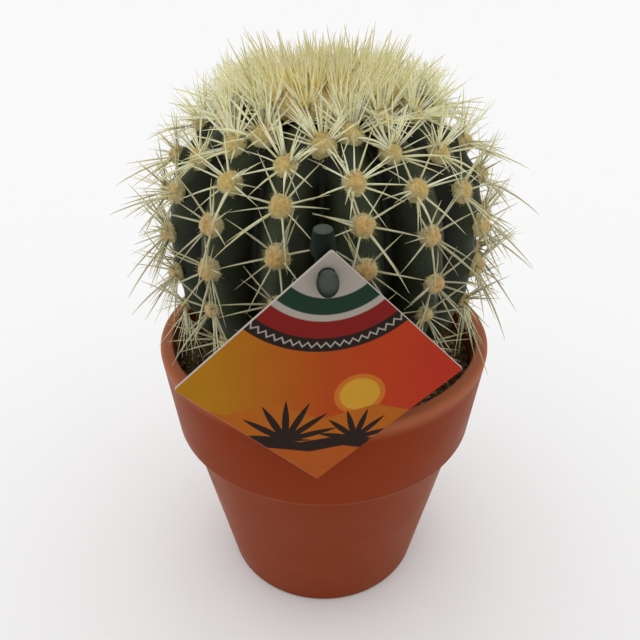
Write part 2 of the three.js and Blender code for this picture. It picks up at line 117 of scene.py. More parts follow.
def linear(code):
    """A colour written as sRGB hex, as the linear values that shaders take."""
    values = [int(code[i : i + 2], 16) / 255 for i in (1, 3, 5)]
    return [v / 12.92 if v <= 0.04045 else ((v + 0.055) / 1.055) ** 2.4 for v in values] + [1.0]


def length_property(name, description, millimetres):
    """A length that a user may change, with its default in millimetres."""
    shown = {"unit": "LENGTH", "subtype": "DISTANCE", "precision": 5}
    return FloatProperty(name=name, description=description, default=millimetres * MM, min=0, **shown)


def number_property(name, description, default, low=0):
    """A plain number that a user may change."""
    kind = IntProperty if isinstance(default, int) else FloatProperty
    return kind(name=name, description=description, default=default, min=low)


def colour_property(name, description, code):
    return FloatVectorProperty(
        name=name, description=description, default=linear(code), size=4, min=0, max=1, subtype="COLOR"
    )


def add_node(tree, kind, inputs=(), **settings):
    """Adds a node with its settings. inputs has values, and sockets or nodes to link, in order or by name."""
    node = tree.nodes.new(kind)
    for key, value in settings.items():
        setattr(node, key, value)
    for key, value in inputs.items() if isinstance(inputs, dict) else enumerate(inputs):
        # A node stands for its first output that is in use.
        if isinstance(value, bpy.types.Node):
            value = next(socket for socket in value.outputs if socket.enabled)
        if isinstance(value, bpy.types.NodeSocket):
            tree.links.new(value, node.inputs[key])
        else:
            node.inputs[key].default_value = value
    return node


def new_material(name):
    """An empty material, the function that adds a node to it, and the place of each point in metres."""
    material = bpy.data.materials.new(name)
    material.use_nodes = True
    material.node_tree.nodes.clear()
    add = partial(add_node, material.node_tree)
    return material, add, add("ShaderNodeTexCoord").outputs["Object"]


def finish_material(material, colour, relief=None, **surface):
    """Ends a material. relief is a pattern, its strength and its depth. surface sets the other sockets."""
    add = partial(add_node, material.node_tree)
    inputs = {"Base Color": colour, **{key.replace("_", " "): value for key, value in surface.items()}}
    if relief:
        inputs["Normal"] = add("ShaderNodeBump", dict(zip(("Height", "Strength", "Distance"), relief)))
    add("ShaderNodeOutputMaterial", {"Surface": add("ShaderNodeBsdfPrincipled", inputs)})
    return material


def varied(add, colour, pattern, at_low, at_high, low=0.0, high=1.0):
    """A colour times at_low where a pattern is low, and times at_high where it is high."""
    factor = add("ShaderNodeMapRange", (pattern, low, high, at_low, at_high))
    return add("ShaderNodeHueSaturation", {"Color": colour, "Value": factor})


def colour_stops(ramp_node, stops):
    """Sets a Color Ramp's stops from pairs of a place and a colour."""
    elements = ramp_node.color_ramp.elements
    while len(elements) < len(stops):
        elements.new(1.0)
    for element, (place, colour) in zip(elements, stops):
        element.position = place
        element.color = linear(colour) if isinstance(colour, str) else colour
    return ramp_node


def mm(metres):
    return metres / MM


def smooth(mesh, angle):
    """Shades a mesh smooth, apart from edges sharper than an angle in degrees."""
    mesh.shade_smooth()
    mesh.set_sharp_from_angle(angle=math.radians(angle))


def add_object(name, data):
    obj = bpy.data.objects.new(name, data)
    bpy.context.scene.collection.objects.link(obj)
    return obj


def mesh_object(name, points_mm, faces=(), edges=()):
    """A mesh object from points in millimetres."""
    mesh = bpy.data.meshes.new(name)
    mesh.from_pydata((np.asarray(points_mm, dtype=float) * MM).tolist(), edges, faces)
    mesh.update()
    return add_object(name, mesh)


def bake_modifiers(obj, name):
    """A plain mesh object from what obj's modifiers make of it. obj is removed."""
    depsgraph = bpy.context.evaluated_depsgraph_get()
    mesh = bpy.data.meshes.new_from_object(obj.evaluated_get(depsgraph), depsgraph=depsgraph)
    bpy.data.objects.remove(obj)
    mesh.name = name
    return add_object(name, mesh)


def combined(obj, operation, other, name):
    """obj with another closed shape joined to it (UNION) or cut out of it (DIFFERENCE)."""
    step = obj.modifiers.new("step", "BOOLEAN")
    step.operation, step.solver, step.object = operation, "EXACT", other
    made = bake_modifiers(obj, name)
    bpy.data.objects.remove(other)
    return made


def finish_piece(obj, node, material=None):
    """Gives a piece its material and its place in the object, and hides the CAD node that it stands for."""
    if material:
        obj.data.materials.clear()
        obj.data.materials.append(material)
    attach(obj, "root")
    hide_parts(node)


def draw(number):
    """A repeatable draw between 0 and 1 for a numbered thing, the same as in the part's source."""
    value = math.sin(number * 12.9898 + 4.1414) * 43758.5453
    return value - math.floor(value)


def smoothstep(value, low, high):
    t = np.clip((np.asarray(value, dtype=float) - low) / (high - low), 0, 1)
    return t * t * (3 - 2 * t)


def rounded(radius, z, size, start, end, steps=6):
    """Profile points on an arc about [radius, z], between two angles in degrees."""
    angles = [math.radians(start + (end - start) * i / steps) for i in range(steps + 1)]
    return [(radius + size * math.cos(a), z + size * math.sin(a)) for a in angles]


def ring_faces(rings, sides):
    """Faces between rings of points, each ring closed on itself."""
    faces = []
    for low in range(0, (rings - 1) * sides, sides):
        for side in range(sides):
            beside = (side + 1) % sides
            faces.append([low + side, low + beside, low + sides + beside, low + sides + side])
    return faces


def lathe(profile, sides):
    """Points and faces of a closed turned shape. The profile runs outwards, up and back to the axis."""
    points, faces, rings = [], [], []
    for radius, z in profile:
        if radius < 1e-6:
            rings.append([len(points)] * sides)
            points.append((0.0, 0.0, z))
            continue
        rings.append(list(range(len(points), len(points) + sides)))
        turns = [TAU * i / sides for i in range(sides)]
        points.extend((radius * math.sin(turn), -radius * math.cos(turn), z) for turn in turns)
    for low, high in zip(rings, rings[1:]):
        for i in range(sides):
            j = (i + 1) % sides
            corners = [low[i], low[j], high[j], high[i]]
            face = [c for k, c in enumerate(corners) if c != corners[k - 1]]
            if len(face) > 2:
                faces.append(face)
    return np.array(points), faces


def joined_shapes(shapes):
    """Several (points, faces) as one."""
    points, faces, count = [], [], 0
    for shape_points, shape_faces in shapes:
        points.append(np.asarray(shape_points))
        faces.extend([[i + count for i in face] for face in shape_faces])
        count += len(shape_points)
    return np.concatenate(points), faces


def placed(points, matrix):
    """Points in millimetres moved by a 4x4 matrix."""
    return np.asarray(points) @ np.array(matrix.to_3x3()).T + np.array(matrix.translation)


TAG_PLACE = Matrix.Translation(TAG_CENTRE)
for axis, degrees in TAG_TURNS:
    TAG_PLACE = TAG_PLACE @ Matrix.Rotation(math.radians(degrees), 4, axis)
PEG_BACK = TAG_PLACE @ (TAG_HOLE + Vector((0, STAKE_TO_TAG, 0)))
STAKE_ALONG = (PEG_BACK - STAKE_SOIL_POINT).normalized()


# Sizes and colours that a user may change.


class PotSettings(bpy.types.PropertyGroup):
    rim_radius: length_property("Rim Radius", "Outer radius of the rim", 42.5)
    height: length_property("Height", "Height from the table to the rim", 75.7)
    rim_width: length_property("Rim Width", "Thickness of the rim", 3.3)
    collar_radius: length_property("Collar Radius", "Radius at the collar's lower edge", 40.3)
    body_radius: length_property("Body Radius", "Radius just under the collar", 37.8)
    base_radius: length_property("Base Radius", "Radius at the table", 28.5)
    wall: length_property("Wall", "Thickness of the wall", 2.5)
    sides: number_property("Sides", "Faces round the pot", 160, 24)
    plastic: colour_property("Plastic", "Terracotta colour of the plastic", "#803010")


class SoilSettings(bpy.types.PropertyGroup):
    level: length_property("Level", "Height of the soil's surface", 68.6)
    crumb_size: length_property("Crumb Size", "Radius of an average crumb", 0.62)
    crumbs: number_property("Crumbs", "Crumbs per square centimetre", 62.0)
    seed: number_property("Seed", "Changes where the crumbs lie", 3)
    peat: colour_property("Peat", "Colour of the moist peat", "#826f52")


class StemSettings(bpy.types.PropertyGroup):
    radius: length_property("Radius", "Radius at the widest level", 37.1)
    furrow: length_property("Furrow Depth", "Depth of the furrows between the ribs", 6.8)
    tubercle: length_property("Tubercle Height", "How far the ribs swell at each areole", 0.6)
    columns: number_property("Columns", "Faces across each rib", 16, 4)
    skin: colour_property("Skin", "Green of the skin on the crests", "#303724")


class WoolSettings(bpy.types.PropertyGroup):
    pad_radius: length_property("Pad Radius", "Radius of a felt pad", 2.45)
    pad_height: length_property("Pad Height", "Height of a felt pad", 2.1)
    hair_length: length_property("Hair Length", "Length of the felt's loose hairs", 0.85)
    hair_radius: length_property("Hair Radius", "Radius of a hair, drawn coarser than life to show", 0.045)
    hairs: number_property("Hairs", "Hairs per square millimetre", 2.75)
    seed: number_property("Seed", "Changes how the hairs lie", 11)
    young: colour_property("Young Wool", "Golden wool of the crown", "#d3b86b")
    old: colour_property("Old Wool", "Tan wool of the lower areoles", "#b98961")
    # The pale edge wool is partly bleached wool and partly a painted sheen.
    edge: colour_property("Edge Wool", "Bleached wool round a pad's edge", "#cbbd8a")


class SpineSettings(bpy.types.PropertyGroup):
    ring_length: length_property("Spreading Spines", "Length of the spines of the ring", 10.4)
    standing_length: length_property("Standing Spines", "Length of the spines that stand out", 14.0)
    crown_length: length_property("Crown Spines", "Length of the upright spines of the crown", 11.0)
    radius: length_property("Radius", "Radius of a spine near its root", 0.245)
    sides: number_property("Sides", "Faces round a spine", 5, 3)
    newest: colour_property("Newest Spines", "Gold of the spines in the middle of the crown", "#f2bf48")
    young: colour_property("Young Spines", "Yellow of the crown's spines", "#fefcd2")
    old: colour_property("Old Spines", "Cream of the flank's spines", "#a2a18c")


class TagSettings(bpy.types.PropertyGroup):
    side: length_property("Side", "Side of the square card", 40.0)
    thickness: length_property("Thickness", "Thickness of the card", 0.6)
    card: colour_property("Card", "Off-white of the unprinted card", "#aea69d")
    plastic: colour_property("Stake Plastic", "Dark green of the stake", "#111a15")


class StageSettings(bpy.types.PropertyGroup):
    floor: colour_property("Floor", "Pale grey of the floor", "#f0f0f0")
    room: number_property("Room Light", "Strength of the even light", 0.58)
    left: number_property("Left Light", "Strength of the light from the left", 1.0)
    right: number_property("Right Light", "Strength of the light from the right", 0.78)
    top: number_property("Top Light", "Strength of the light from above", 0.54)


class CactusSettings(bpy.types.PropertyGroup):
    pot: PointerProperty(type=PotSettings)
    soil: PointerProperty(type=SoilSettings)
    stem: PointerProperty(type=StemSettings)
    wool: PointerProperty(type=WoolSettings)
    spines: PointerProperty(type=SpineSettings)
    tag: PointerProperty(type=TagSettings)
    stage: PointerProperty(type=StageSettings)


# The stem's shape.


class StemShape:
    """The ribbed globe: its outline by distance, its rows of areoles and any point of its surface."""

    def __init__(self, settings, soil_level):
        self.radius = mm(settings.radius)
        self.furrow = mm(settings.furrow)
        self.tubercle = mm(settings.tubercle)
        self.soil_level = soil_level
        up, down = self.walk(STEM_TOP_HEIGHT, 2 / STEM_TOP_POWER), self.walk(-STEM_ROOT_HEIGHT, 1.0)
        self.apex = up[-1, 0]
        down[:, 0] *= -1
        # Rows of distance, radius, height over the widest level, and the two parts of the outward slope.
        walked = np.concatenate([down[::-1], up[1:]])
        steps = np.diff(walked, axis=0)
        steps = np.concatenate([steps, steps[-1:]])
        long = np.hypot(steps[:, 1], steps[:, 2])
        self.table = np.column_stack([walked, steps[:, 2] / long, -steps[:, 1] / long])

    def walk(self, height, power):
        """Rows of distance, radius and height over the widest level, from there to an end."""
        angle = np.linspace(0, math.pi / 2, 401)
        radius = self.radius * np.cos(angle) ** power
        rise = height * np.sin(angle) ** power
        along = np.concatenate([[0], np.cumsum(np.hypot(np.diff(radius), np.diff(rise)))])
        return np.stack([along, radius, rise], axis=1)

    def outline(self, distance):
        """Radius, height and the two parts of the outward slope, at distances along the outline."""
        along, *columns = self.table.T
        radius, rise, out_r, out_z = (np.interp(distance, along, column) for column in columns)
        dimple = DIMPLE_DEPTH * np.exp(-((radius / DIMPLE_RADIUS) ** 2)) * (np.asarray(distance) > 0)
        return radius, STEM_CENTRE_Z + rise - dimple, out_r, out_z

    def row_distance(self, row):
        """How far up the outline a row of areoles is. The rows crowd together towards the apex."""
        row = np.asarray(row, dtype=float)
        left = self.apex - CROWDING_ROW * AREOLE_SPACING
        beyond = CROWDING_ROW - np.maximum(row, CROWDING_ROW)
        crowded = self.apex - left * np.exp(beyond * AREOLE_SPACING / left)
        return np.where(row <= CROWDING_ROW, row * AREOLE_SPACING, crowded)

    def top_height(self, radius):
        """Height of the outline's upper half at a radius."""
        upper = self.table[self.table[:, 0] >= 0][::-1]
        return self.outline(np.interp(radius, upper[:, 1], upper[:, 0]))[1]

    def surface(self, turn, row):
        """Points of the surface, and how near each is to the crest of its rib."""
        turn_from_rib = turn - FIRST_RIB
        ribs = turn_from_rib * RIBS / TAU
        crest = np.abs(np.cos(turn_from_rib * RIBS / 2))
        radius, z, out_r, out_z = self.outline(self.row_distance(row))
        share = radius / self.radius
        rise = 0.5 * np.cos(TAU * (row - row_offset(np.round(ribs))))
        # Furrows and tubercles fade out towards the soil.
        fade = smoothstep(z, self.soil_level, self.soil_level + 14)
        dip = self.furrow * (1 - crest**0.9) * share * (0.12 + 0.88 * fade)
        lift = self.tubercle * rise * crest**2 * share * fade - dip
        # An areole that stands between two ribs has a tubercle of its own, which fills the furrow.
        for own_rib, own_row in BETWEEN_RIBS:
            aside = (ribs - own_rib + RIBS / 2) % RIBS - RIBS / 2
            near = np.exp(-((aside / 0.32) ** 2) - ((row - own_row) / 0.6) ** 2)
            lift = lift + (dip + 0.4 * self.tubercle * share) * near
        r = radius + lift * out_r
        return np.stack([r * np.sin(turn), -r * np.cos(turn), z + lift * out_z], axis=-1), crest


def row_offset(rib):
    """Where the rows of a rib lie between two whole numbers."""
    return (FIRST_ROW + np.asarray(rib) * ROW_SHIFT) % 1.0


def strayed(rib, whole):
    """Rib and row of an areole. Where no place is given, it strays a little, more so near the crown."""
    aside, up = STRAYS.get((rib, whole), (None, None))
    if aside is None:
        loose = 0.25 * float(smoothstep(whole, 0, 3))
        aside, up = (loose * (draw(rib * 17 + whole + part) - 0.5) for part in (0.3, 0.8))
    return rib + aside, whole + float(row_offset(rib)) + up


BETWEEN_RIBS = [strayed(*key) for key, (aside, _) in STRAYS.items() if abs(aside) > 0.25] + list(LATE_AREOLES)


class Areole:
    """One areole: its middle, the way out, up the rib and across it, and its row."""

    def __init__(self, shape, rib, row):
        self.row = row
        self.turn = FIRST_RIB + rib / RIBS * TAU
        self.radius, _, out_r, out_z = (float(v) for v in shape.outline(shape.row_distance(row)))
        self.middle = shape.surface(self.turn, row)[0]
        facing = np.array([math.sin(self.turn), -math.cos(self.turn), 0.0])
        self.out = facing * out_r + np.array([0, 0, out_z])
        self.up = facing * -out_z + np.array([0, 0, out_r])
        self.across = np.cross(self.up, self.out)
        self.upper = float(smoothstep(row, *UPPER_ROWS))


def stem_and_areoles(settings):
    """The stem's shape, the areoles that stand apart on its flanks, and those that crowd in the crown."""
    shape = StemShape(settings.stem, mm(settings.soil.level))
    flank, crowded = [], []
    places = [strayed(rib, whole) for rib in range(RIBS) for whole in range(-3, 11)]
    for rib, row in [*places, *LATE_AREOLES]:
        if LOWEST_ROW <= row <= TOPMOST_ROW:
            areole = Areole(shape, rib, row)
            (crowded if row > 0 and areole.radius < CROWN_RADIUS else flank).append(areole)
    return shape, flank, crowded


def set_attribute(mesh, name, values, domain="POINT"):
    """Stores one number a point or face, for Geometry Nodes and materials to read."""
    attribute = mesh.attributes.new(name, "FLOAT", domain)
    attribute.data.foreach_set("value", np.asarray(values, dtype=np.float32))


def new_tree(name, sizes):
    """A Geometry Nodes tree with an input for each size, the function that adds a node, and its inputs."""
    tree = bpy.data.node_groups.new(name, "GeometryNodeTree")
    for label, kind in {"Geometry": "Geometry", **sizes}.items():
        tree.interface.new_socket(label, in_out="INPUT", socket_type="NodeSocket" + kind)
    tree.interface.new_socket("Geometry", in_out="OUTPUT", socket_type="NodeSocketGeometry")
    add = partial(add_node, tree)
    return tree, add, add("NodeGroupInput").outputs


def close_tree(tree, geometry, material, body=None):
    """Ends a tree with plain smooth geometry in the material, and with the body that it stands on, if any."""
    add = partial(add_node, tree)
    if body:
        geometry = add("GeometryNodeJoinGeometry", {0: geometry})
        tree.links.new(body, geometry.inputs[0])
    real = add("GeometryNodeRealizeInstances", {"Geometry": geometry})
    smoothed = add("GeometryNodeSetShadeSmooth", {"Geometry": real})
    painted = add("GeometryNodeSetMaterial", {"Geometry": smoothed, "Material": material})
    add("NodeGroupOutput", {"Geometry": painted})
    return tree


def run_tree(obj, tree, values, name):
    """The plain mesh that a tree makes of obj, with the given inputs. obj is removed."""
    modifier = obj.modifiers.new(tree.name, "NODES")
    modifier.node_group = tree
    for item in tree.interface.items_tree:
        if item.in_out == "INPUT" and item.name in values:
            modifier[item.identifier] = values[item.name]
    return bake_modifiers(obj, name)


# The pot.


def pot_material(settings):
    """Polypropylene, injection moulded: satin, with soft broad highlights and barely any texture."""
    material, add, place = new_material("Terracotta polypropylene, moulded")
    # Pigment that isn't quite even: cloudy streaks about 25 mm long that run round the pot.
    flat = add("ShaderNodeMapping", {"Vector": place, "Scale": (40, 40, 120)})
    streaks = add("ShaderNodeTexNoise", {"Vector": flat, "Scale": 1.0, "Detail": 3.0})
    mottled = varied(add, settings.plastic, streaks, 0.9, 1.1)
    # The rim's last few millimetres are painted a paler clay: a painted highlight for the light that falls on
    # the rim's top.
    height = add("ShaderNodeSeparateXYZ", [place]).outputs["Z"]
    painted_paleness = add("ShaderNodeMapRange", (height, 0.071, 0.0755, 0.0, 0.56), interpolation_type="SMOOTHSTEP")
    painted_lighter = add("ShaderNodeMix", {0: painted_paleness, 6: mottled, 7: linear("#b3704f")}, data_type="RGBA")
    # Handling leaves patches of 15 mm a little duller.
    patches = add("ShaderNodeTexNoise", {"Vector": place, "Scale": 65.0, "Detail": 4.0})
    dull = add("ShaderNodeMapRange", (patches, 0.3, 0.7, 0.36, 0.5))
    # The mould's grain: 0.3 mm, coarser than the real 0.1 mm so that it shows.
    grain = add("ShaderNodeTexNoise", {"Vector": place, "Scale": 3300.0, "Detail": 2.0})
    sheen = {"Sheen_Weight": 0.08, "Sheen_Roughness": 0.4, "Sheen_Tint": linear("#ffdc98")}
    relief = (grain, 0.12, 0.00005)
    return finish_material(material, painted_lighter, relief, Roughness=dull, IOR=1.49, Specular_IOR_Level=0.05, **sheen)


def pot_inside(settings):
    """Where the pot's inner wall changes slope, in millimetres, from the top down."""
    wall = mm(settings.wall)
    base = mm(settings.base_radius) - wall
    return [
        (mm(settings.collar_radius) - wall, COLLAR_BOTTOM_Z + wall),
        (mm(settings.body_radius) - wall, COLLAR_BOTTOM_Z - 1),
        (base + 0.2, FLOOR_TOP_Z + 1),
        (base - 0.8, FLOOR_TOP_Z),
    ]


def make_pot(settings):
    """The shell, turned in one piece with edges rounded by 0.6 to 2 mm, and its ring of drain holes."""
    rim, lip = mm(settings.rim_radius), mm(settings.height) - 1.2
    collar, base = mm(settings.collar_radius), mm(settings.base_radius)
    body = mm(settings.body_radius)
    # It stands on its middle and on its outer edge, and the floor is 1.4 mm higher between them.
    underside = [(0, 0), (9.5, 0), (10.9, 1.4), (22.5, 1.4), (23.9, 0)]
    profile = [
        *underside,
        *rounded(base - 1.2, 1.2, 1.2, -90, 0),
        (body - 0.4, COLLAR_BOTTOM_Z - 1.2),
        (body, COLLAR_BOTTOM_Z),
        *rounded(collar - 2.0, COLLAR_BOTTOM_Z + 2.0, 2.0, -80, 0, 8),
        *rounded(rim - 1.2, lip, 1.2, 0, 90),
        *rounded(rim - mm(settings.rim_width) + 0.6, lip + 0.6, 0.6, 90, 180),
        *pot_inside(settings),
        (0, FLOOR_TOP_Z),
    ]
    shell = mesh_object("pot_shell", *lathe(profile, settings.sides))
    holes, hole_radius, hole_circle = 6, 2.8, 16
    drills = []
    for i in range(holes):
        angle = (i + 0.5) / holes * TAU
        points, faces = lathe([(0, -4), (hole_radius, -4), (hole_radius, 8), (0, 8)], 28)
        middle = np.array([hole_circle * math.cos(angle), hole_circle * math.sin(angle), 0])
        drills.append((points + middle, faces))
    pot = combined(shell, "DIFFERENCE", mesh_object("drills", *joined_shapes(drills)), "pot_moulded")
    smooth(pot.data, 38)
    finish_piece(pot, "pot", pot_material(settings))


# The soil.


def soil_material(settings):
    """Peat potting mix, moist and crumbly: no shine, and every crumb a slightly different brown."""
    material, add, place = new_material("Peat potting mix, crumbled")
    shade = add("ShaderNodeAttribute", attribute_name="shade").outputs["Fac"]
    browns = [(0.0, "#6f6557"), (0.45, "#b5a68f"), (0.8, "#e2cfae"), (0.93, "#ffffff"), (1.0, "#ffffff")]
    ramp = colour_stops(add("ShaderNodeValToRGB", [shade]), browns)
    peat = add("ShaderNodeMix", {0: 1.0, 6: ramp, 7: settings.peat}, data_type="RGBA", blend_type="MULTIPLY")
    # Fibres and grit of about 0.7 mm inside each crumb.
    fibres = add("ShaderNodeTexNoise", {"Vector": place, "Scale": 1400.0, "Detail": 3.0})
    fibrous = varied(add, peat, fibres, 0.45, 2.4)
    return finish_material(material, fibrous, (fibres, 0.7, 0.0004), Roughness=0.92, Specular_IOR_Level=0.25)


def crumbs_tree(material):
    """Strews the faces marked as the top with crumbs and splinters, each turned and sized its own way."""
    tree, add, given = new_tree("Peat crumbs", {"Size": "Float", "Density": "Float", "Seed": "Int"})
    top = add("GeometryNodeInputNamedAttribute", {"Name": "top"})
    spread = {"Mesh": given["Geometry"], "Selection": top, "Density": given["Density"], "Seed": given["Seed"]}
    points = add("GeometryNodeDistributePointsOnFaces", spread)
    # Four lumps to pick from, a coarse one and three finer, each pushed out of round its own way.
    lumps = add("GeometryNodeGeometryToInstance")
    place = add("GeometryNodeInputPosition")
    for number in range(4):
        ball = add("GeometryNodeMeshIcoSphere", (given["Size"], 2 if number else 1))
        rough = add("ShaderNodeTexNoise", (place, number * 7.3, 1100.0, 1.0), noise_dimensions="4D")
        centred = add("ShaderNodeVectorMath", (rough.outputs["Color"], (0.5, 0.5, 0.5)), operation="SUBTRACT")
        push = add("ShaderNodeVectorMath", {0: centred, "Scale": 0.0021}, operation="SCALE")
        lump = add("GeometryNodeSetPosition", {"Geometry": ball, "Offset": push})
        tree.links.new(lump.outputs[0], lumps.inputs[0])
    turn = add("FunctionNodeRandomValue", {1: (TAU, TAU, TAU), "Seed": 1}, data_type="FLOAT_VECTOR")
    sizes = {0: (0.45, 0.45, 0.35), 1: (1.9, 1.1, 0.9), "Seed": 2}
    size = add("FunctionNodeRandomValue", sizes, data_type="FLOAT_VECTOR")
    picked = {"Points": points, "Instance": lumps, "Pick Instance": True, "Rotation": turn, "Scale": size}
    strewn = add("GeometryNodeInstanceOnPoints", picked)
    shade = {"Geometry": strewn, "Name": "shade", "Value": add("FunctionNodeRandomValue", {"Seed": 3})}
    marked = add("GeometryNodeStoreNamedAttribute", shade, domain="INSTANCE")
    return close_tree(tree, marked, material, given["Geometry"])


def make_soil(settings, pot, stem):
    """The soil's body, cut for the stake, with crumbs strewn over the ring that shows."""
    # The soil keeps a gap to the pot. Its surface runs in rings from the wall to 2.5 mm inside the stem, and
    # a socket under the stem takes the root.
    level, gap, rings = mm(settings.level), 0.3, 18
    inside = [(radius - gap, z) for radius, z in pot_inside(pot)]
    root = mm(stem.radius) * math.sqrt(1 - ((STEM_CENTRE_Z - level) / STEM_ROOT_HEIGHT) ** 2)
    top = [(SOIL_RADIUS + (root - 2.5 - SOIL_RADIUS) * i / rings, level) for i in range(rings + 1)]
    floor, socket = FLOOR_TOP_Z + gap, [(12, level - 4), (0, level - 5.6)]
    profile = [(0, floor), (inside[3][0], floor), *reversed(inside[:3]), *top, *socket]
    points, faces = lathe(profile, 140)
    radius = np.hypot(points[:, 0], points[:, 1])
    # The surface rises and falls by about a millimetre, apart from its edge.
    for i in np.nonzero(np.isclose(points[:, 2], level) & (radius < SOIL_RADIUS - 0.2))[0]:
        x, y, z = points[i]
        rise = 0.9 * noise.noise((x / 6, y / 6, 1.0)) + 0.5 * noise.noise((x / 2.2, y / 2.2, 4.0)) - 0.1
        points[i, 2] = z + rise
    body = mesh_object("soil_body", points, faces)
    body = combined(body, "DIFFERENCE", mesh_object("stake_hole", *stake_shaft(0.15, 24)), "soil_body")
    centres = np.array([p.center[:] for p in body.data.polygons]) / MM
    shown = np.array([p.normal.z > 0.5 for p in body.data.polygons]) & (centres[:, 2] > level - 2)
    across = np.hypot(centres[:, 0], centres[:, 1])
    shown &= (across > root - 1.5) & (across < SOIL_RADIUS - 0.4)
    set_attribute(body.data, "top", shown, "FACE")
    set_attribute(body.data, "shade", np.full(len(body.data.vertices), 0.12))
    values = {"Size": settings.crumb_size, "Density": settings.crumbs * 1e4, "Seed": settings.seed}
    soil = run_tree(body, crumbs_tree(soil_material(settings)), values, "soil_with_crumbs")
    # Crumbs at the wall lie inside it, and none stands out of the pot's plan.
    place = np.empty(len(soil.data.vertices) * 3)
    soil.data.vertices.foreach_get("co", place)
    place = place.reshape(-1, 3) / MM
    across = np.hypot(place[:, 0], place[:, 1])
    farthest = SOIL_RADIUS + 0.15
    far = (across > farthest) & (place[:, 2] > level - 3)
    place[far, :2] *= (farthest / across[far])[:, None]
    soil.data.vertices.foreach_set("co", (place * MM).ravel())
    soil.data.update()
    finish_piece(soil, "soil")


# The stem.


def skin_material(settings):
    """Cactus skin, grown: a waxy dark green, paler on the crests, with pores and fine creases."""
    material, add, place = new_material("Cactus skin, grown waxy")
    # The furrows are painted almost black, a painted shade for the deep furrows, and the crests keep the
    # skin's grey-green.
    crest = add("ShaderNodeAttribute", attribute_name="crest").outputs["Fac"]
    furrow_shade_stops = [(0.0, "#54543c"), (0.4, "#86876c"), (0.8, "#c6ccb8"), (0.97, "#ffffff")]
    painted_furrow_shade = colour_stops(add("ShaderNodeValToRGB", [crest]), furrow_shade_stops)
    both = {0: 1.0, 6: painted_furrow_shade, 7: settings.skin}
    green = add("ShaderNodeMix", both, data_type="RGBA", blend_type="MULTIPLY")
    # Blotches of 6 mm, some of them duller than others.
    blotches = add("ShaderNodeTexNoise", {"Vector": place, "Scale": 170.0, "Detail": 4.0})
    blotched = varied(add, green, blotches, 0.72, 1.3, 0.3, 0.7)
    wax = add("ShaderNodeMapRange", {"Value": blotches, "To Min": 0.38, "To Max": 0.62})
    # Pores, 0.7 mm apart, which is twice the real spacing so that they show as pale specks.
    pores = add("ShaderNodeTexVoronoi", {"Vector": place, "Scale": 1400.0})
    speckled = varied(add, blotched, pores, 1.5, 1.0, 0.1, 0.3)
    creases = add("ShaderNodeTexNoise", {"Vector": place, "Scale": 900.0, "Detail": 5.0})
    surface = {"IOR": 1.42, "Specular_IOR_Level": 0.25, "Subsurface_Weight": 0.05, "Subsurface_Scale": 0.002}
    return finish_material(material, speckled, (creases, 0.35, 0.0003), Roughness=wax, **surface)


def make_stem(settings, shape):
    """The globe as one skin, from its roots in the soil to its apex."""
    columns = settings.columns * RIBS
    # Eleven rows of faces to a row of areoles, and fewer under the wool cap.
    rows = np.concatenate([np.arange(-4.6, 6.0, 1 / 11), np.arange(6.0, 9.5, 0.5)])
    turns = FIRST_RIB + TAU * np.arange(columns) / columns
    skin, crest = shape.surface(*np.meshgrid(turns, rows))
    skin = skin.reshape(-1, 3)
    # Slow swells of about half a millimetre, with smaller ones on them.
    for i, point in enumerate(skin):
        swell = noise.noise(point / 5.5) * 0.45 + noise.noise(point / 1.8) * 0.12
        skin[i] = point * (1 + swell * np.array([1, 1, 0]) / 36)
    faces = ring_faces(len(rows), columns)
    top, last = len(skin), (len(rows) - 1) * columns
    for column in range(columns):
        beside = (column + 1) % columns
        faces.append([last + column, last + beside, top])
        faces.append([beside, column, top + 1])
    apex, under = [0, 0, float(shape.top_height(0))], [0, 0, skin[0, 2] - 0.5]
    stem = mesh_object("cactus_stem", np.concatenate([skin, [apex, under]]), faces)
    smooth(stem.data, 180)
    set_attribute(stem.data, "crest", np.concatenate([crest.ravel(), [1, 1]]))
    finish_piece(stem, "cactus", skin_material(settings))


# The wool: a felt pad on every areole, and a cap of it over the crown.


def wool_material(settings):
    """Areole wool, grown: felted hair with no shine, golden where young and tan with age."""
    material, add, place = new_material("Areole wool, felted")
    age = add("ShaderNodeAttribute", attribute_name="age").outputs["Fac"]
    wool = add("ShaderNodeMix", {0: age, 6: settings.young, 7: settings.old}, data_type="RGBA")
    # A pad's edge and its loose hairs are paler, and its middle keeps the colour: partly bleached wool,
    # partly a painted sheen of lit fuzz.
    core = add("ShaderNodeAttribute", attribute_name="core").outputs["Fac"]
    bleached_and_sheen = add("ShaderNodeMix", {0: core, 6: settings.edge, 7: wool}, data_type="RGBA")
    # Tufts of 0.8 mm, and hairs of 0.15 mm, drawn three times as coarse as they grow so that they show.
    tufts = add("ShaderNodeTexNoise", {"Vector": place, "Scale": 1250.0, "Detail": 4.0})
    tufted = varied(add, bleached_and_sheen, tufts, 0.62, 1.2, 0.25, 0.75)
    sheen = {"Sheen_Weight": 1.0, "Sheen_Roughness": 0.35, "Sheen_Tint": linear("#f4ecc4")}
    relief = (tufts, 0.6, 0.0004)
    return finish_material(material, tufted, relief, Roughness=0.95, Specular_IOR_Level=0.15, **sheen)


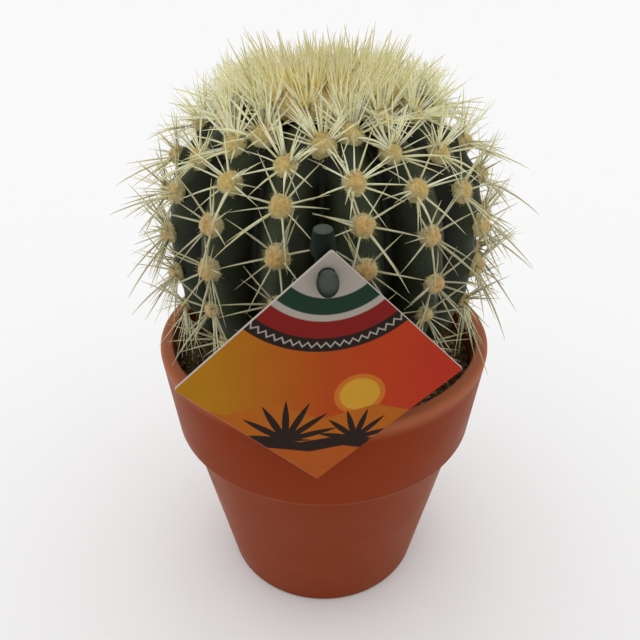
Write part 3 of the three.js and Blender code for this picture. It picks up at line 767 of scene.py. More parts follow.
def felt_tree(material):
    """Covers a pad with short curved hairs that stand out of it and lean every way."""
    sizes = {"Density": "Float", "Hair Length": "Float", "Hair Radius": "Float", "Seed": "Int"}
    tree, add, given = new_tree("Felt hairs", sizes)
    hairy = add("GeometryNodeInputNamedAttribute", {"Name": "hairy"})
    spread = {"Mesh": given["Geometry"], "Selection": hairy, "Density": given["Density"]}
    points = add("GeometryNodeDistributePointsOnFaces", {**spread, "Seed": given["Seed"]})
    # One hair: a short line that bends aside more and more, and thins to its tip.
    upright = add("ShaderNodeCombineXYZ", {"Z": given["Hair Length"]})
    line = add("GeometryNodeCurvePrimitiveLine", {"End": upright})
    hair = add("GeometryNodeResampleCurve", {"Curve": line, "Count": 3})
    along = add("GeometryNodeSplineParameter")
    arch = add("ShaderNodeMath", (along, 2.0), operation="POWER")
    reach = add("ShaderNodeMath", (arch, given["Hair Length"]), operation="MULTIPLY")
    aside = add("ShaderNodeCombineXYZ", {"X": reach})
    half = add("ShaderNodeVectorMath", {0: aside, "Scale": 0.55}, operation="SCALE")
    bent = add("GeometryNodeSetPosition", {"Geometry": hair, "Offset": half})
    ring = add("GeometryNodeCurvePrimitiveCircle", {"Resolution": 3, "Radius": given["Hair Radius"]})
    taper = add("ShaderNodeMapRange", {"Value": along, "To Min": 1.0, "To Max": 0.15})
    strand = add("GeometryNodeCurveToMesh", {"Curve": bent, "Profile Curve": ring, "Scale": taper})
    leans = {0: (-0.75, -0.75, 0), 1: (0.75, 0.75, TAU), "Seed": 1}
    lean = add("FunctionNodeRandomValue", leans, data_type="FLOAT_VECTOR")
    tilt = add("FunctionNodeEulerToRotation", [lean])
    turned = add("FunctionNodeRotateRotation", (points.outputs["Rotation"], tilt), rotation_space="LOCAL")
    size = add("FunctionNodeRandomValue", {2: 0.5, 3: 1.15, "Seed": 2})
    # The loose hairs are painted paler than the felt that they stand in, a painted sheen for the pale fringe
    # of lit fuzz.
    core = add("GeometryNodeInputNamedAttribute", {"Name": "core"})
    painted_paleness = add("ShaderNodeMath", (core, 0.35), operation="MULTIPLY")
    bleached_and_sheen = add("GeometryNodeStoreNamedAttribute", {"Geometry": points, "Name": "core", "Value": painted_paleness})
    hairs = {"Points": bleached_and_sheen, "Instance": strand, "Rotation": turned, "Scale": size}
    return close_tree(tree, add("GeometryNodeInstanceOnPoints", hairs), material, given["Geometry"])


def felt_dome(areole, radius, height, number):
    """One pad: a lumpy dome that starts a little under the skin."""
    points = []
    for ring in range(PAD_RINGS + 1):
        slope = math.radians(-25 + 115 * ring / PAD_RINGS)
        for side in range(PAD_SIDES):
            turn = TAU * side / PAD_SIDES
            aside = areole.across * math.cos(turn) + areole.up * math.sin(turn)
            point = aside * radius * math.cos(slope) + areole.out * height * math.sin(slope)
            lump = 1 + 0.2 * noise.noise(Vector(point) * 0.7 + Vector((number * 3.1, 0, 0)))
            points.append(areole.middle + point * lump)
    lids = [list(range(PAD_SIDES))[::-1], list(range(PAD_RINGS * PAD_SIDES, (PAD_RINGS + 1) * PAD_SIDES))]
    return np.array(points), ring_faces(PAD_RINGS + 1, PAD_SIDES) + lids


def crown_cap(shape, crowded):
    """The wool cap: it follows the top of the globe, with a mound over every crowded areole."""
    rings, sides = 40, 110
    middles = np.array([areole.middle[:2] for areole in crowded])
    share = np.linspace(1, 0, rings + 1)[:-1]
    turn = TAU * np.arange(sides) / sides
    radius, turns = np.meshgrid(share * CAP_RADIUS, turn, indexing="ij")
    x, y = radius * np.sin(turns), -radius * np.cos(turns)
    gap = np.hypot(x[..., None] - middles[:, 0], y[..., None] - middles[:, 1])
    mounds = np.exp(-((gap / 1.5) ** 2)).max(axis=-1)
    # The wool lies 0.4 mm over the ribs and is up to about 3 mm thick. Its underside is hidden in the stem.
    under = shape.top_height(radius) + 0.4 + shape.tubercle / 2 * radius / shape.radius
    thick = 1 + 1.4 * np.sqrt(np.maximum(1 - (radius / CAP_RADIUS) ** 2, 0)) + 0.9 * (mounds - 0.4)
    rough = [noise.noise((a / 1.4, b / 1.4, 0)) for a, b in zip(x.ravel(), y.ravel())]
    thick = np.maximum(thick + 0.3 * np.reshape(rough, x.shape), 0.5)
    top = np.stack([x, y, under + thick], axis=-1)
    bottom = np.stack([x, y, shape.top_height(radius) - 0.6], axis=-1)
    points = np.concatenate([top.reshape(-1, 3), bottom[:1].reshape(-1, 3)])
    skirt = rings * sides
    faces = ring_faces(rings, sides)
    for side in range(sides):
        beside = (side + 1) % sides
        faces.append([skirt + side, skirt + beside, beside, side])
    faces.append(list(range(skirt - sides, skirt)))
    faces.append(list(range(skirt, skirt + sides))[::-1])
    return points, faces


def felted(settings, body, ages, cores, hairs, name, node):
    """Gives a wool body its hairs, and makes it a piece. The cap's two lids, with many corners, stay bare."""
    base = mesh_object(name + "_base", *body)
    set_attribute(base.data, "age", ages)
    set_attribute(base.data, "core", cores)
    set_attribute(base.data, "hairy", [len(p.vertices) <= PAD_SIDES for p in base.data.polygons], "FACE")
    values = {"Density": settings.hairs * 1e6, "Seed": settings.seed}
    values |= {"Hair Length": settings.hair_length, "Hair Radius": settings.hair_radius}
    finish_piece(run_tree(base, hairs, values, name), node)


def make_pads(settings, flank, hairs):
    """The felt pads of the areoles that stand apart."""
    domes, ages, cores = [], [], []
    for number, areole in enumerate(flank):
        low = float(1 - smoothstep(areole.row, -1.6, 0.0))
        size = (0.92 + 0.16 * draw(number + 0.7)) * (1 - 0.35 * low)
        radius = mm(settings.pad_radius) * size * (1 + 0.12 * areole.upper)
        dome = felt_dome(areole, radius, mm(settings.pad_height) * size, number)
        domes.append(dome)
        age = float(np.clip(0.75 - 0.2 * areole.row + 0.25 * (draw(number + 0.2) - 0.5), 0, 1))
        ages += [age] * len(dome[0])
        kept = (1 - 0.75 * low) * (1 - 0.45 * areole.upper)
        # A pad's edge is kept paler than its middle, partly bleached wool and partly a painted sheen.
        for ring in range(PAD_RINGS + 1):
            cores += [smoothstep(ring / PAD_RINGS, 0.25, 0.85) * kept] * PAD_SIDES
    felted(settings, joined_shapes(domes), ages, cores, hairs, "areole_pads", "cactus")


def make_cap(settings, shape, crowded, hairs):
    """The wool cap. It is youngest in its middle, and palest at its edge."""
    cap = crown_cap(shape, crowded)
    radius = np.hypot(cap[0][:, 0], cap[0][:, 1])
    felted(settings, cap, radius / 60, 1 - 0.6 * smoothstep(radius, 5, 14), hairs, "crown_wool", "crown")


# The spines.


def spine_material(settings):
    """Spines, grown: smooth horn that light gets into, yellow when young and cream when older."""
    material, add, place = new_material("Cactus spine, grown horn")
    along = add("ShaderNodeAttribute", attribute_name="along").outputs["Fac"]
    age = add("ShaderNodeAttribute", attribute_name="age").outputs["Fac"]
    tint = add("ShaderNodeAttribute", attribute_name="tint").outputs["Fac"]
    # A spine grows from its base, so the tip is a little older.
    older = add("ShaderNodeMath", (along, 0.26, age), operation="MULTIPLY_ADD")
    golds = [(0.0, settings.newest), (0.24, settings.young), (1.0, settings.old)]
    ages = colour_stops(add("ShaderNodeValToRGB", [older]), golds)
    # Amber at the root and clear along the shaft. The point is painted a little darker, a painted shade for
    # tips seen from their shaded side against the bright room.
    root_amber_tip_shade = [(0.0, "#f0d9a8"), (0.12, "#faf3df"), (0.3, "#ffffff"), (0.65, "#f6f2e2"), (1.0, "#bdb8a2")]
    length = colour_stops(add("ShaderNodeValToRGB", [along]), root_amber_tip_shade)
    horn = add("ShaderNodeMix", {0: 1.0, 6: ages, 7: length}, data_type="RGBA", blend_type="MULTIPLY")
    # The tint varies each spine at random, and is lower on the lowest spines as painted shade near the soil.
    shaded = varied(add, horn, tint, 0.92, 1.18)
    # Faint bumps 1 mm apart, for the rings in which a spine grows.
    rings = add("ShaderNodeTexNoise", {"Vector": place, "Scale": 1000.0, "Detail": 1.0})
    glow = {"Subsurface_Weight": 0.85, "Subsurface_Radius": (1.0, 0.85, 0.5), "Subsurface_Scale": 0.0012}
    relief = (rings, 0.15, 0.0001)
    return finish_material(material, shaded, relief, Roughness=0.45, IOR=1.45, Specular_IOR_Level=0.4, **glow)


def spine_tree(material):
    """Makes each line a tapered rod. The taper attribute says how thick it is at each point."""
    tree, add, given = new_tree("Spines", {"Radius": "Float", "Sides": "Int"})
    lines = add("GeometryNodeMeshToCurve", {"Mesh": given["Geometry"]})
    ring = add("GeometryNodeCurvePrimitiveCircle", {"Resolution": given["Sides"], "Radius": given["Radius"]})
    taper = add("GeometryNodeInputNamedAttribute", {"Name": "taper"})
    rod = {"Curve": lines, "Profile Curve": ring, "Scale": taper, "Fill Caps": True}
    return close_tree(tree, add("GeometryNodeCurveToMesh", rod), material)


class Obstacles:
    """What the spines keep clear of, in millimetres: the pot, the soil, the stake and the tag."""

    # The room kept: half the card's depth, the button's radius and half its depth, the stake's radius, and
    # how far up from the soil the stake counts.
    card_depth = 1.0
    button_radius, button_depth = 3.5, 4.5
    stake_radius, stake_length = 3.3, 64

    def __init__(self, settings):
        self.rim = mm(settings.pot.height) + 0.5
        self.soil = mm(settings.soil.level) + 0.9
        self.card = mm(settings.tag.side) / math.sqrt(2) + 0.8
        self.to_tag = TAG_PLACE.inverted()

    def met_by(self, line):
        radius = np.hypot(line[:, 0], line[:, 1])
        if np.any((radius > SOIL_RADIUS) & (line[:, 2] < self.rim)) or np.any(line[:, 2] < self.soil):
            return True
        tag = placed(line, self.to_tag)
        in_card = np.abs(tag[:, 0]) + np.abs(tag[:, 2]) < self.card
        if np.any((np.abs(tag[:, 1]) < self.card_depth) & in_card):
            return True
        button = tag - np.array([TAG_HOLE.x, 1.0, TAG_HOLE.z])
        in_button = np.hypot(button[:, 0], button[:, 2]) < self.button_radius
        if np.any(in_button & (np.abs(button[:, 1]) < self.button_depth)):
            return True
        from_soil = line - np.array(STAKE_SOIL_POINT)
        along = from_soil @ np.array(STAKE_ALONG)
        aside = np.linalg.norm(from_soil - along[:, None] * np.array(STAKE_ALONG), axis=1)
        return bool(np.any((aside < self.stake_radius) & (along < self.stake_length)))


def bowed(root, along, length, bow):
    """The line of a spine from its root, bowed more and more towards its tip."""
    share = np.linspace(0, 1, SPINE_PICKS[-1] + 1)[:, None]
    return root + along * length * share + bow * length * share**2


def fitted_line(root, along, length, bow, areole, sideways, obstacles):
    """The spine's line, or where something is in its way, the nearest bent or shorter one, or nothing."""
    bends = [(0, 0), (sideways, 0.8), (sideways, 2.5), (areole.out, 0.7), (areole.up, 0.8), (areole.up, 2.5)]
    for share in (1, 0.75, 0.5):
        for towards, amount in bends:
            bent = along + np.asarray(towards) * amount
            line = bowed(root, bent / np.linalg.norm(bent), length * share, bow)
            if not obstacles.met_by(line):
                return line
    return None


def spine_plan(settings, areole, number, low):
    """The spines of an areole of the flank: for each its index, lift in degrees, length and thickness."""
    upper = areole.upper
    plan = [(i, 29, mm(settings.ring_length) - 1.4 * upper, 1.0) for i in range(STANDING)]
    plan.append((STANDING, 46, mm(settings.standing_length) - 2.5 * upper, 1.25))
    plan += [(i + 0.5, 20, 8.4, 0.75) for i in (0, 2, 4)]
    plan.append((1.3, 38, 10.6 - 1.5 * upper, 0.95))
    # The young areoles near the crown carry a brush of their own, above their felt.
    for i in range(round(32 * upper)):
        length = 7.4 + 3.6 * draw(number + 1.9 * i)
        plan.append((BRUSH + 0.618 * i, 32 + 42 * draw(number + 5.1 * i), length, 0.85))
    # Those that touch the crown are lost in a thicket of short spines.
    thicket = float(smoothstep(areole.row, 3.45, 3.7))
    plan += [(THICKET + i, 18 + 44 * draw(number + 4.9 * i), 6.6, 0.8) for i in range(round(28 * thicket))]
    # The lowest areoles hang thin old spines over the soil.
    plan += [(HANGING + i, 8 + 30 * draw(number + 3.3 * i), 11.5, 0.62) for i in range(round(7 * low))]
    # Away from the front, where less light falls, there are more fine spines.
    away = float(smoothstep(-math.cos(areole.turn), -0.6, -0.25))
    plan += [(FINE + i, 12 + 48 * draw(number + 2.7 * i), 9.5, 0.6) for i in range(round(12 * away))]
    return plan


def spine_turn(i, seed, number):
    """Which way round its areole a spine leans: 0 across the rib, and a quarter turn up it."""
    turn = TAU * (i + 0.3 * (draw(seed) - 0.5)) / 6 + 1.7 * number
    if i == STANDING:
        # The strongest spine points down, beside the next areole.
        turn = -TAU / 4 + math.copysign(0.42 + 0.33 * draw(seed), draw(seed + 0.15) - 0.5)
    elif i >= FINE:
        turn = TAU * draw(seed)
    elif i >= HANGING:
        turn = -TAU / 4 + 2.2 * (draw(seed) - 0.5)
    elif i >= BRUSH:
        turn = TAU / 4 + 3.3 * (draw(seed) - 0.5)
    elif abs(math.cos(turn)) < 0.36:
        # A spine that would run along the rib, over the next areole, passes beside it.
        beside = math.copysign(0.3 + 0.14 * draw(seed + 0.45), math.cos(turn))
        turn = math.copysign(math.acos(beside), math.sin(turn))
    return turn


def flank_spines(settings, pad_radius, flank, obstacles):
    """The spines of each areole that stands apart. They leave it all round, from under the felt."""
    lines = []
    for number, areole in enumerate(flank):
        low = float(1 - smoothstep(areole.row, -1.6, -0.2))
        oldness = float(np.clip(1.1 - 0.2 * areole.row, 0.3, 1))
        for i, lift, length, thick in spine_plan(settings, areole, number, low):
            seed = number * 40 + i
            turn = spine_turn(i, seed, number)
            if i < BRUSH:
                # Near the crown the spines that point up the rib stand out more.
                lift += (14 + 12 * math.sin(turn)) * areole.upper
            lift = math.radians(lift + 14 * (draw(seed + 0.3) - 0.5))
            sideways = areole.across * math.cos(turn) + areole.up * math.sin(turn)
            along = areole.out * math.sin(lift) + sideways * math.cos(lift)
            # The brush stands on the felt, and the others leave from under its edge.
            inside, raised = (0.6, 1.6) if BRUSH <= i < HANGING else (0.85, 0.7 + 0.6 * math.sin(lift))
            root = areole.middle - along * 1.2 + areole.out * raised + sideways * mm(pad_radius) * inside
            length += 2.4 * (draw(seed + 0.6) - 0.5) + 1.2
            # Most spines bow a little, out of the plant or back to it, and with their weight.
            weight = np.array([0, 0, -0.16 if i == STANDING else -0.05])
            bow = areole.out * 0.2 * (draw(seed + 0.8) - 0.75) + weight
            line = fitted_line(root, along, length, bow, areole, sideways, obstacles)
            if line is not None:
                # The tint is drawn at random, and the spines of the lowest areoles are painted darker:
                # painted shade near the soil.
                age = oldness * (1 if i < BRUSH else 0.27 if i < HANGING else 0.6)
                lines.append((line, thick, age, draw(seed + 0.9) * (1 - 0.6 * low)))
    return lines


def crown_spines(settings, crowded, obstacles):
    """The upright brush of the crown: each crowded areole sends up its own cluster."""
    lines = []
    for number, areole in enumerate(crowded):
        share = min(areole.radius / CROWN_RADIUS, 1.0)
        facing = np.array([math.sin(areole.turn), -math.cos(areole.turn), 0.0])
        beside = np.array([-facing[1], facing[0], 0.0])
        count = 10 + round(9 * share)
        # The outermost ones also hang a fringe of short spines over the top of the flank.
        fringe = round(12 * float(smoothstep(share, 0.6, 0.85)))
        for i in range(count + fringe):
            in_fringe = i >= count
            # These draws start far from those of the flank's spines.
            seed = 7000 + number * 31 + i
            turn = TAU * (i + 0.6 * draw(seed)) / count
            lean = math.radians(3 + 34 * share + 16 * (draw(seed + 0.1) - 0.5) + 34 * in_fringe)
            fan = math.radians(9 + (12 + 14 * share**3) * draw(seed + 0.2)) if i else 0.0
            middle = facing * math.sin(lean) + np.array([0, 0, math.cos(lean)])
            sideways = facing * math.cos(turn) + beside * math.sin(turn)
            along = middle * math.cos(fan) + sideways * math.sin(fan)
            along /= np.linalg.norm(along)
            long = draw(seed + 0.7) < 0.08 and not in_fringe
            grown = 0.58 + 0.32 * share + 0.14 * (draw(seed + 0.4) - 0.5) + 0.38 * long
            length = mm(settings.crown_length) * grown
            length *= 0.62 if in_fringe else 1
            root = areole.middle + sideways * (0.9 * (0.4 + 0.6 * share)) + areole.out * 0.8
            bow = facing * 0.1 * (draw(seed + 0.5) - 0.35) + beside * 0.12 * (draw(seed + 0.6) - 0.5)
            line = bowed(root, along, length, bow)
            top = line[:, 2].max()
            if top > HIGHEST_TIP_Z:
                line = bowed(root, along, length * (HIGHEST_TIP_Z - root[2]) / (top - root[2]), bow)
            if not obstacles.met_by(line):
                age = 0.12 * float(smoothstep(share, 0.5, 1.0)) + 0.4 * long
                lines.append((line, 1.25 if long else 1.0, age, draw(seed + 0.9) * (not long)))
    return lines


def make_spines(settings, lines, rods, name, node):
    """A piece from the spines' lines, each thinning to its point."""
    share = np.array(SPINE_PICKS) / SPINE_PICKS[-1]
    places, thick, age, tint = zip(*lines)
    points = np.concatenate([line[SPINE_PICKS] for line in places])
    edges = [(i, i + 1) for i in range(len(points)) if (i + 1) % len(share)]
    obj = mesh_object(name + "_lines", points, edges=edges)
    set_attribute(obj.data, "taper", np.outer(thick, 1 - 0.88 * share**1.6).ravel())
    set_attribute(obj.data, "along", np.tile(share, len(lines)))
    set_attribute(obj.data, "age", np.repeat(age, len(share)))
    set_attribute(obj.data, "tint", np.repeat(tint, len(share)))
    values = {"Radius": settings.radius, "Sides": settings.sides}
    finish_piece(run_tree(obj, rods, values, name), node)


# The stake and the tag.


def stake_material(settings):
    """Polypropylene, injection moulded: dark green and half glossy, scuffed dull in places."""
    material, add, place = new_material("Dark green polypropylene, moulded")
    scuffs = add("ShaderNodeTexNoise", {"Vector": place, "Scale": 420.0, "Detail": 5.0})
    dull = add("ShaderNodeMapRange", (scuffs, 0.35, 0.65, 0.3, 0.5))
    green = varied(add, settings.plastic, scuffs, 0.8, 1.25)
    # What faces up is painted a paler grey-green, a painted highlight for the light from above, and the
    # button is made the same paler grey-green.
    normal = add("ShaderNodeNewGeometry").outputs["Normal"]
    facing = add("ShaderNodeSeparateXYZ", [normal]).outputs["Z"]
    painted_top_light = add("ShaderNodeMapRange", (facing, 0.35, 0.95), interpolation_type="SMOOTHSTEP")
    button = TAG_PLACE @ (TAG_HOLE + Vector((-0.3, -3.4, 0.3)))
    gap = add("ShaderNodeVectorMath", (place, button * MM), operation="DISTANCE")
    on_button = add("ShaderNodeMapRange", (gap, 0.0009, 0.003, 0.95, 0.0), interpolation_type="SMOOTHSTEP")
    painted_lighter = add("ShaderNodeMath", (painted_top_light, on_button), operation="MAXIMUM")
    paler = add("ShaderNodeMix", {0: painted_lighter, 6: green, 7: linear("#454c44")}, data_type="RGBA")
    relief = (scuffs, 0.12, 0.0001)
    return finish_material(material, paler, relief, Roughness=dull, IOR=1.49, Specular_IOR_Level=0.07)


def stake_shaft(margin, sides):
    """The stake's round shaft with its head, grown by a margin, set in its place."""
    length, head = 85.0, 80.4
    outline = [(0.2, 0), (1.5, 24), (1.5, head - 1.4), (1.75, head - 0.8), (2.2, head - 0.2)]
    outline += [(2.38, head + 0.5), (2.26, head + 1.8)]
    outline += [(1.84, length - 0.5), (1.72, length - 0.15), (1.55, length)]
    grown = [(radius + margin, z) for radius, z in outline]
    points, faces = lathe([(0, -margin), *grown, (0, length + margin)], sides)
    tip = PEG_BACK + STAKE_ALONG * (STAKE_HEAD_ABOVE_PEG - length)
    turn = Vector((0, 0, 1)).rotation_difference(STAKE_ALONG).to_matrix().to_4x4()
    return placed(points, Matrix.Translation(tip) @ turn), faces


def make_stake(settings):
    """The shaft, with the peg that goes through the tag's hole and ends in an oval button."""
    behind = mm(settings.thickness) / 2 + 0.3
    foot, radius = -behind - 0.5, 1.2
    peg, peg_faces = lathe([(0, foot), (radius, foot), (radius, STAKE_TO_TAG), (0, STAKE_TO_TAG)], 28)
    dome = [(1.5, 0), (1.85, 0.2), (1.98, 0.6), (1.94, 1.3), (1.75, 2.0), (1.4, 2.5), (0.8, 2.75)]
    button, button_faces = lathe([(0, 0), *dome, (0, 2.8)], 40)
    # The peg runs back from the tag, and the button stands out in front of it, taller than wide.
    peg = np.stack([peg[:, 0], peg[:, 2], -peg[:, 1]], axis=1)
    button = np.stack([button[:, 0], -behind - button[:, 2], button[:, 1] * 1.3 - 0.9], axis=1)
    stake = mesh_object("stake_shaft", *stake_shaft(0, 40))
    for points, faces in ((peg, peg_faces), (button, button_faces)):
        detail = mesh_object("stake_detail", placed(points + np.array(TAG_HOLE), TAG_PLACE), faces)
        stake = combined(stake, "UNION", detail, "stake_with_button")
    smooth(stake.data, 50)
    finish_piece(stake, "stake", stake_material(settings))


def card_material(settings):
    """Card stock, cut: matt, off-white and a little fibrous."""
    material, add, place = new_material("Card stock, die cut")
    fibres = add("ShaderNodeTexNoise", {"Vector": place, "Scale": 2500.0, "Detail": 4.0})
    card = varied(add, settings.card, fibres, 0.9, 1.08)
    return finish_material(material, card, Roughness=0.85, Specular_IOR_Level=0.3)


def print_material(settings):
    """Coated card, printed: flat inks under a thin silk varnish, in a made-up desert pattern."""
    material, add, place = new_material("Coated card, offset printed")
    # The tag's own plane, in millimetres: X to its right and Z up, from its middle.
    back = TAG_PLACE.to_3x3().inverted().to_euler()
    centred = add("ShaderNodeMapping", {"Vector": place, "Location": [-c * MM for c in TAG_CENTRE]})
    flat = add("ShaderNodeMapping", {"Vector": centred, "Rotation": back, "Scale": (1000, 1000, 1000)})
    axes = add("ShaderNodeSeparateXYZ", [flat]).outputs
    x, z = axes["X"], axes["Z"]
    # The layers of ink from the lowest up, each with how deep inside its outline a place is.
    dark, cream, layers = "#211209", "#9e958b", []
    sun = add("ShaderNodeVectorMath", (flat, (7.5, 0, -4.5)), operation="DISTANCE")
    for ink, radius in (("#b5621b", 5.2), ("#bd8b26", 4.1)):
        layers.append((ink, add("ShaderNodeMath", (radius, sun), operation="SUBTRACT")))
    # Far dunes, a dark ridge, and the bright sand in front of it, as (x, height) pairs.
    edge = 28.0
    skylines = [
        ("#a3560a", [(-28, -3), (-19, -7.5), (-10, -5), (0, -10.5), (11, -7.5), (19, -10), (28, -6)]),
        (dark, [(-28, -10), (-13, -14), (-4, -16.5), (5, -15.5), (13, -18), (28, -14)]),
        ("#a14b0e", [(-28, -12), (-12, -17), (-2, -19.5), (5, -18.5), (12, -20.5), (28, -18)]),
    ]
    across = add("ShaderNodeMapRange", (x, -edge, edge))
    for ink, stops in skylines:
        curve = add("ShaderNodeFloatCurve", {"Value": across})
        points = curve.mapping.curves[0].points
        while len(points) < len(stops):
            points.new(0.5, 0.5)
        for point, (at, height) in zip(points, stops):
            point.location = ((at + edge) / (2 * edge), (height + edge) / (2 * edge))
            point.handle_type = "VECTOR"
        curve.mapping.update()
        level = add("ShaderNodeMapRange", {"Value": curve, "To Min": -edge, "To Max": edge})
        layers.append((ink, add("ShaderNodeMath", (level, z), operation="SUBTRACT")))
    # Rosettes of pointed leaves on the ridge, as (place, foot, leaf length, leaves in half a turn).
    for at, foot, leaf, leaves in ((-7.2, -15.6, 11.0, 7), (7.4, -16.6, 8.4, 6)):
        aside = add("ShaderNodeMath", (x, at), operation="SUBTRACT")
        above = add("ShaderNodeMath", (z, foot), operation="SUBTRACT")
        angle = add("ShaderNodeMath", (above, aside), operation="ARCTAN2")
        half = math.pi / leaves / 2
        fold = add("ShaderNodeMath", (angle, half), operation="PINGPONG")
        share = add("ShaderNodeMath", (fold, half), operation="DIVIDE")
        point = add("ShaderNodeMath", (share, 1.4), operation="POWER")
        reach = add("ShaderNodeMapRange", {"Value": point, "To Min": leaf * 0.3, "To Max": leaf})
        away = add("ShaderNodeVectorMath", (flat, (at, 0, foot)), operation="DISTANCE")
        inside = add("ShaderNodeMath", (reach, away), operation="SUBTRACT")
        sunk = add("ShaderNodeMath", (above, 0.6), operation="ADD")
        layers.append((dark, add("ShaderNodeMath", (inside, sunk), operation="MINIMUM")))
    # Bands round the top corner, as far apart on both sides of the stake's button.
    top = mm(settings.side) / math.sqrt(2)
    corner = add("ShaderNodeVectorMath", (flat, (0.0, 0.0, top)), operation="DISTANCE")
    for ink, radius in (("#1f130c", 21.5), ("#76130f", 18.4), (cream, 14.6), ("#16301f", 13.2), (cream, 9.6)):
        layers.append((ink, add("ShaderNodeMath", (radius, corner), operation="SUBTRACT")))
    # A thin cream zigzag along the dark band, one tooth every 5 degrees.
    drop = add("ShaderNodeMath", (top, z), operation="SUBTRACT")
    turn = add("ShaderNodeMath", (x, drop), operation="ARCTAN2")
    half = math.radians(2.5)
    tooth = add("ShaderNodeMath", (turn, half), operation="PINGPONG")
    middle = add("ShaderNodeMath", (tooth, 1.1 / half, 19.4), operation="MULTIPLY_ADD")
    off = add("ShaderNodeMath", (corner, middle), operation="SUBTRACT")
    aside = add("ShaderNodeMath", [off], operation="ABSOLUTE")
    layers.append((cream, add("ShaderNodeMath", (0.22, aside), operation="SUBTRACT")))
    # The sky under them all: yellow at the left to red at the right.
    sky = [(0.02, "#a16c04"), (0.3, "#a05306"), (0.52, "#a23e09"), (0.75, "#a8340e"), (1.0, "#a72913")]
    warm = add("ShaderNodeMapRange", (x, -23.0, 23.0))
    picture = colour_stops(add("ShaderNodeValToRGB", [warm]), sky)
    for ink, depth in layers:
        # An edge as soft as a printed one: a quarter of a millimetre.
        mask = add("ShaderNodeMapRange", (depth, -0.12, 0.12))
        picture = add("ShaderNodeMix", {0: mask, 6: picture, 7: linear(ink)}, data_type="RGBA")
    # Ink that lies a little uneven on the coating: clouds of 4 mm.
    clouds = add("ShaderNodeTexNoise", {"Vector": flat, "Scale": 0.25, "Detail": 3.0})
    inked = varied(add, picture, clouds, 0.93, 1.07)
    relief = (clouds, 0.1, 0.0002)
    return finish_material(material, inked, relief, Roughness=0.5, IOR=1.47, Specular_IOR_Level=0.12)


def make_tag(settings):
    """The square card, hung by a corner: printed in front, bare at its edges and back."""
    half, thick, corner, bevel = mm(settings.side) / 2, mm(settings.thickness), 0.5, 0.08
    outline = []
    for quarter, (x, z) in enumerate(((1, 1), (-1, 1), (-1, -1), (1, -1))):
        middle = (x * (half - corner), z * (half - corner))
        outline += rounded(*middle, corner, 90 * quarter, 90 * quarter + 90)
    # It hangs by one corner, so it is turned by an eighth.
    cos, sin = math.cos(math.pi / 4), math.sin(math.pi / 4)
    outline = [(x * cos - z * sin, x * sin + z * cos) for x, z in outline]
    points = []
    for depth, inset in ((0.0, bevel), (bevel, 0.0), (thick - bevel, 0.0), (thick, bevel)):
        scale = 1 - inset / half
        points.extend((x * scale, -thick / 2 + depth, z * scale) for x, z in outline)
    count = len(outline)
    faces = [[a, d, c, b] for a, b, c, d in ring_faces(4, count)]
    faces += [list(range(count)), list(range(3 * count, 4 * count))[::-1]]
    card = mesh_object("tag_card", placed(points, TAG_PLACE), faces)
    punch, punch_faces = lathe([(0, -2), (1.6, -2), (1.6, 2), (0, 2)], 40)
    punch = np.stack([punch[:, 0], punch[:, 2], -punch[:, 1]], axis=1) + np.array(TAG_HOLE)
    punch = mesh_object("punch", placed(punch, TAG_PLACE), punch_faces)
    card = combined(card, "DIFFERENCE", punch, "hanging_tag")
    finish_piece(card, "tag", card_material(settings))
    card.data.materials.append(print_material(settings))
    # Only the face in front is printed.
    front = TAG_PLACE.to_3x3() @ Vector((0, -1, 0))
    for face in card.data.polygons:
        face.material_index = 1 if face.normal.dot(front) > 0.95 else 0


# The stage.


def floor_material(settings):
    """Matt paper sweep, rolled out: even and pale, with the faintest mottle."""
    material, add, place = new_material("Paper sweep, matt")
    mottle = add("ShaderNodeTexNoise", {"Vector": place, "Scale": 30.0, "Detail": 2.0})
    paper = varied(add, settings.floor, mottle, 0.995, 1.005)
    return finish_material(material, paper, Roughness=0.9, Specular_IOR_Level=0.2)


def add_light(name, towards, strength):
    """A large soft light, far off, that shines the way of towards."""
    light = bpy.data.lights.new(name, "SUN")
    light.energy, light.angle = strength, math.radians(120)
    add_object(name, light).rotation_euler = Vector(towards).to_track_quat("-Z", "Y").to_euler()


def make_stage(settings):
    """A pale floor, soft lights, and the camera where the photograph was taken from."""
    far = 3000.0
    corners = [(-far, -far, 0), (far, -far, 0), (far, far, 0), (-far, far, 0)]
    floor = mesh_object("floor", corners, [(0, 1, 2, 3)])
    floor.data.materials.append(floor_material(settings))
    world = bpy.data.worlds.new("studio")
    world.use_nodes = True
    # The room's light is even, and behind the floor's far edge it looks as pale as the floor.
    tree = world.node_tree
    background = tree.nodes["Background"]
    background.inputs["Color"].default_value = (1, 1, 1, 1)
    seen = add_node(tree, "ShaderNodeLightPath").outputs["Is Camera Ray"]
    levels = {"Value": seen, "To Min": settings.room, "To Max": SEEN_ROOM}
    strength = add_node(tree, "ShaderNodeMapRange", levels)
    tree.links.new(strength.outputs[0], background.inputs["Strength"])
    bpy.context.scene.world = world
    add_light("left_light", (1, -0.1, -0.7), settings.left)
    add_light("right_light", (-1, -0.2, -0.7), settings.right)
    add_light("top_light", (0, -0.3, -1), settings.top)
    lens = bpy.data.cameras.new("camera")
    lens.lens, lens.sensor_width, lens.clip_start = FOCAL_LENGTH, 36, 0.01
    camera = add_object("camera", lens)
    camera.location = CAMERA_PLACE
    camera.rotation_euler = CAMERA_LOOKS.to_track_quat("-Z", "Y").to_euler()
    bpy.context.scene.camera = camera
    bpy.context.scene.view_settings.view_transform = "Standard"


# The operators, one for each piece or group of like pieces.


class CACTUS_OT_pot(bpy.types.Operator):
    """Make the moulded plastic pot"""

    bl_idname = "cactus.pot"
    bl_label = "Pot"

    def execute(self, context):
        make_pot(context.scene.cactus.pot)
        return {"FINISHED"}


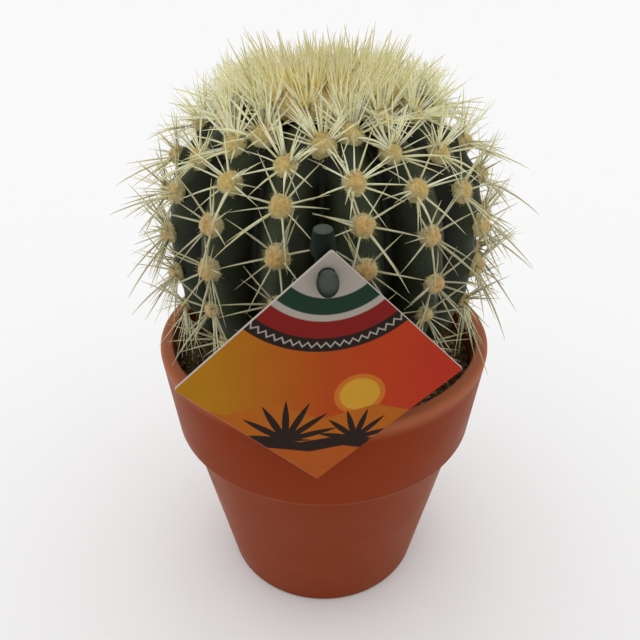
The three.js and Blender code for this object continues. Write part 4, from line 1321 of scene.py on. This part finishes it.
class CACTUS_OT_soil(bpy.types.Operator):
    """Make the soil with its crumbs"""

    bl_idname = "cactus.soil"
    bl_label = "Soil"

    def execute(self, context):
        settings = context.scene.cactus
        make_soil(settings.soil, settings.pot, settings.stem)
        return {"FINISHED"}


class CACTUS_OT_stem(bpy.types.Operator):
    """Make the ribbed globe"""

    bl_idname = "cactus.stem"
    bl_label = "Stem"

    def execute(self, context):
        settings = context.scene.cactus
        make_stem(settings.stem, stem_and_areoles(settings)[0])
        return {"FINISHED"}


class CACTUS_OT_wool(bpy.types.Operator):
    """Make the felt pads of the areoles and the crown's wool"""

    bl_idname = "cactus.wool"
    bl_label = "Wool"

    def execute(self, context):
        settings = context.scene.cactus
        shape, flank, crowded = stem_and_areoles(settings)
        hairs = felt_tree(wool_material(settings.wool))
        make_pads(settings.wool, flank, hairs)
        make_cap(settings.wool, shape, crowded, hairs)
        return {"FINISHED"}


class CACTUS_OT_spines(bpy.types.Operator):
    """Make the spines of the flank and of the crown"""

    bl_idname = "cactus.spines"
    bl_label = "Spines"

    def execute(self, context):
        settings = context.scene.cactus
        obstacles = Obstacles(settings)
        _, flank, crowded = stem_and_areoles(settings)
        rods = spine_tree(spine_material(settings.spines))
        lines = flank_spines(settings.spines, settings.wool.pad_radius, flank, obstacles)
        make_spines(settings.spines, lines, rods, "flank_spines", "cactus")
        lines = crown_spines(settings.spines, crowded, obstacles)
        make_spines(settings.spines, lines, rods, "crown_spines", "crown")
        return {"FINISHED"}


class CACTUS_OT_stake(bpy.types.Operator):
    """Make the plastic stake with its button"""

    bl_idname = "cactus.stake"
    bl_label = "Stake"

    def execute(self, context):
        make_stake(context.scene.cactus.tag)
        return {"FINISHED"}


class CACTUS_OT_tag(bpy.types.Operator):
    """Make the printed card tag"""

    bl_idname = "cactus.tag"
    bl_label = "Tag"

    def execute(self, context):
        make_tag(context.scene.cactus.tag)
        return {"FINISHED"}


class CACTUS_OT_stage(bpy.types.Operator):
    """Make the floor, the lights and the camera"""

    bl_idname = "cactus.stage"
    bl_label = "Stage"

    def execute(self, context):
        make_stage(context.scene.cactus.stage)
        return {"FINISHED"}


class CACTUS_PT_panel(bpy.types.Panel):
    """Lists the sizes and colours, and a button for each piece"""

    bl_label = "Potted Cactus"
    bl_space_type = "VIEW_3D"
    bl_region_type = "UI"
    bl_category = "Cactus"

    def draw(self, context):
        settings = context.scene.cactus
        for label, group, operators in (
            ("Pot", settings.pot, ["pot"]),
            ("Soil", settings.soil, ["soil"]),
            ("Stem", settings.stem, ["stem"]),
            ("Wool", settings.wool, ["wool"]),
            ("Spines", settings.spines, ["spines"]),
            ("Stake and Tag", settings.tag, ["stake", "tag"]),
            ("Stage", settings.stage, ["stage"]),
        ):
            box = self.layout.box()
            box.label(text=label)
            for name in group.__annotations__:
                box.prop(group, name)
            for name in operators:
                box.operator("cactus." + name)


SETTINGS = (PotSettings, SoilSettings, StemSettings, WoolSettings, SpineSettings, TagSettings, StageSettings)
OPERATORS = (
    CACTUS_OT_pot,
    CACTUS_OT_soil,
    CACTUS_OT_stem,
    CACTUS_OT_wool,
    CACTUS_OT_spines,
    CACTUS_OT_stake,
    CACTUS_OT_tag,
    CACTUS_OT_stage,
)
CLASSES = (*SETTINGS, CactusSettings, *OPERATORS, CACTUS_PT_panel)


def register():
    for cls in CLASSES:
        bpy.utils.register_class(cls)
    bpy.types.Scene.cactus = PointerProperty(type=CactusSettings)


def unregister():
    del bpy.types.Scene.cactus
    for cls in reversed(CLASSES):
        bpy.utils.unregister_class(cls)


def main():
    register()
    for operator in OPERATORS:
        getattr(bpy.ops.cactus, operator.bl_idname.split(".")[1])()


if __name__ == "__main__":
    main()
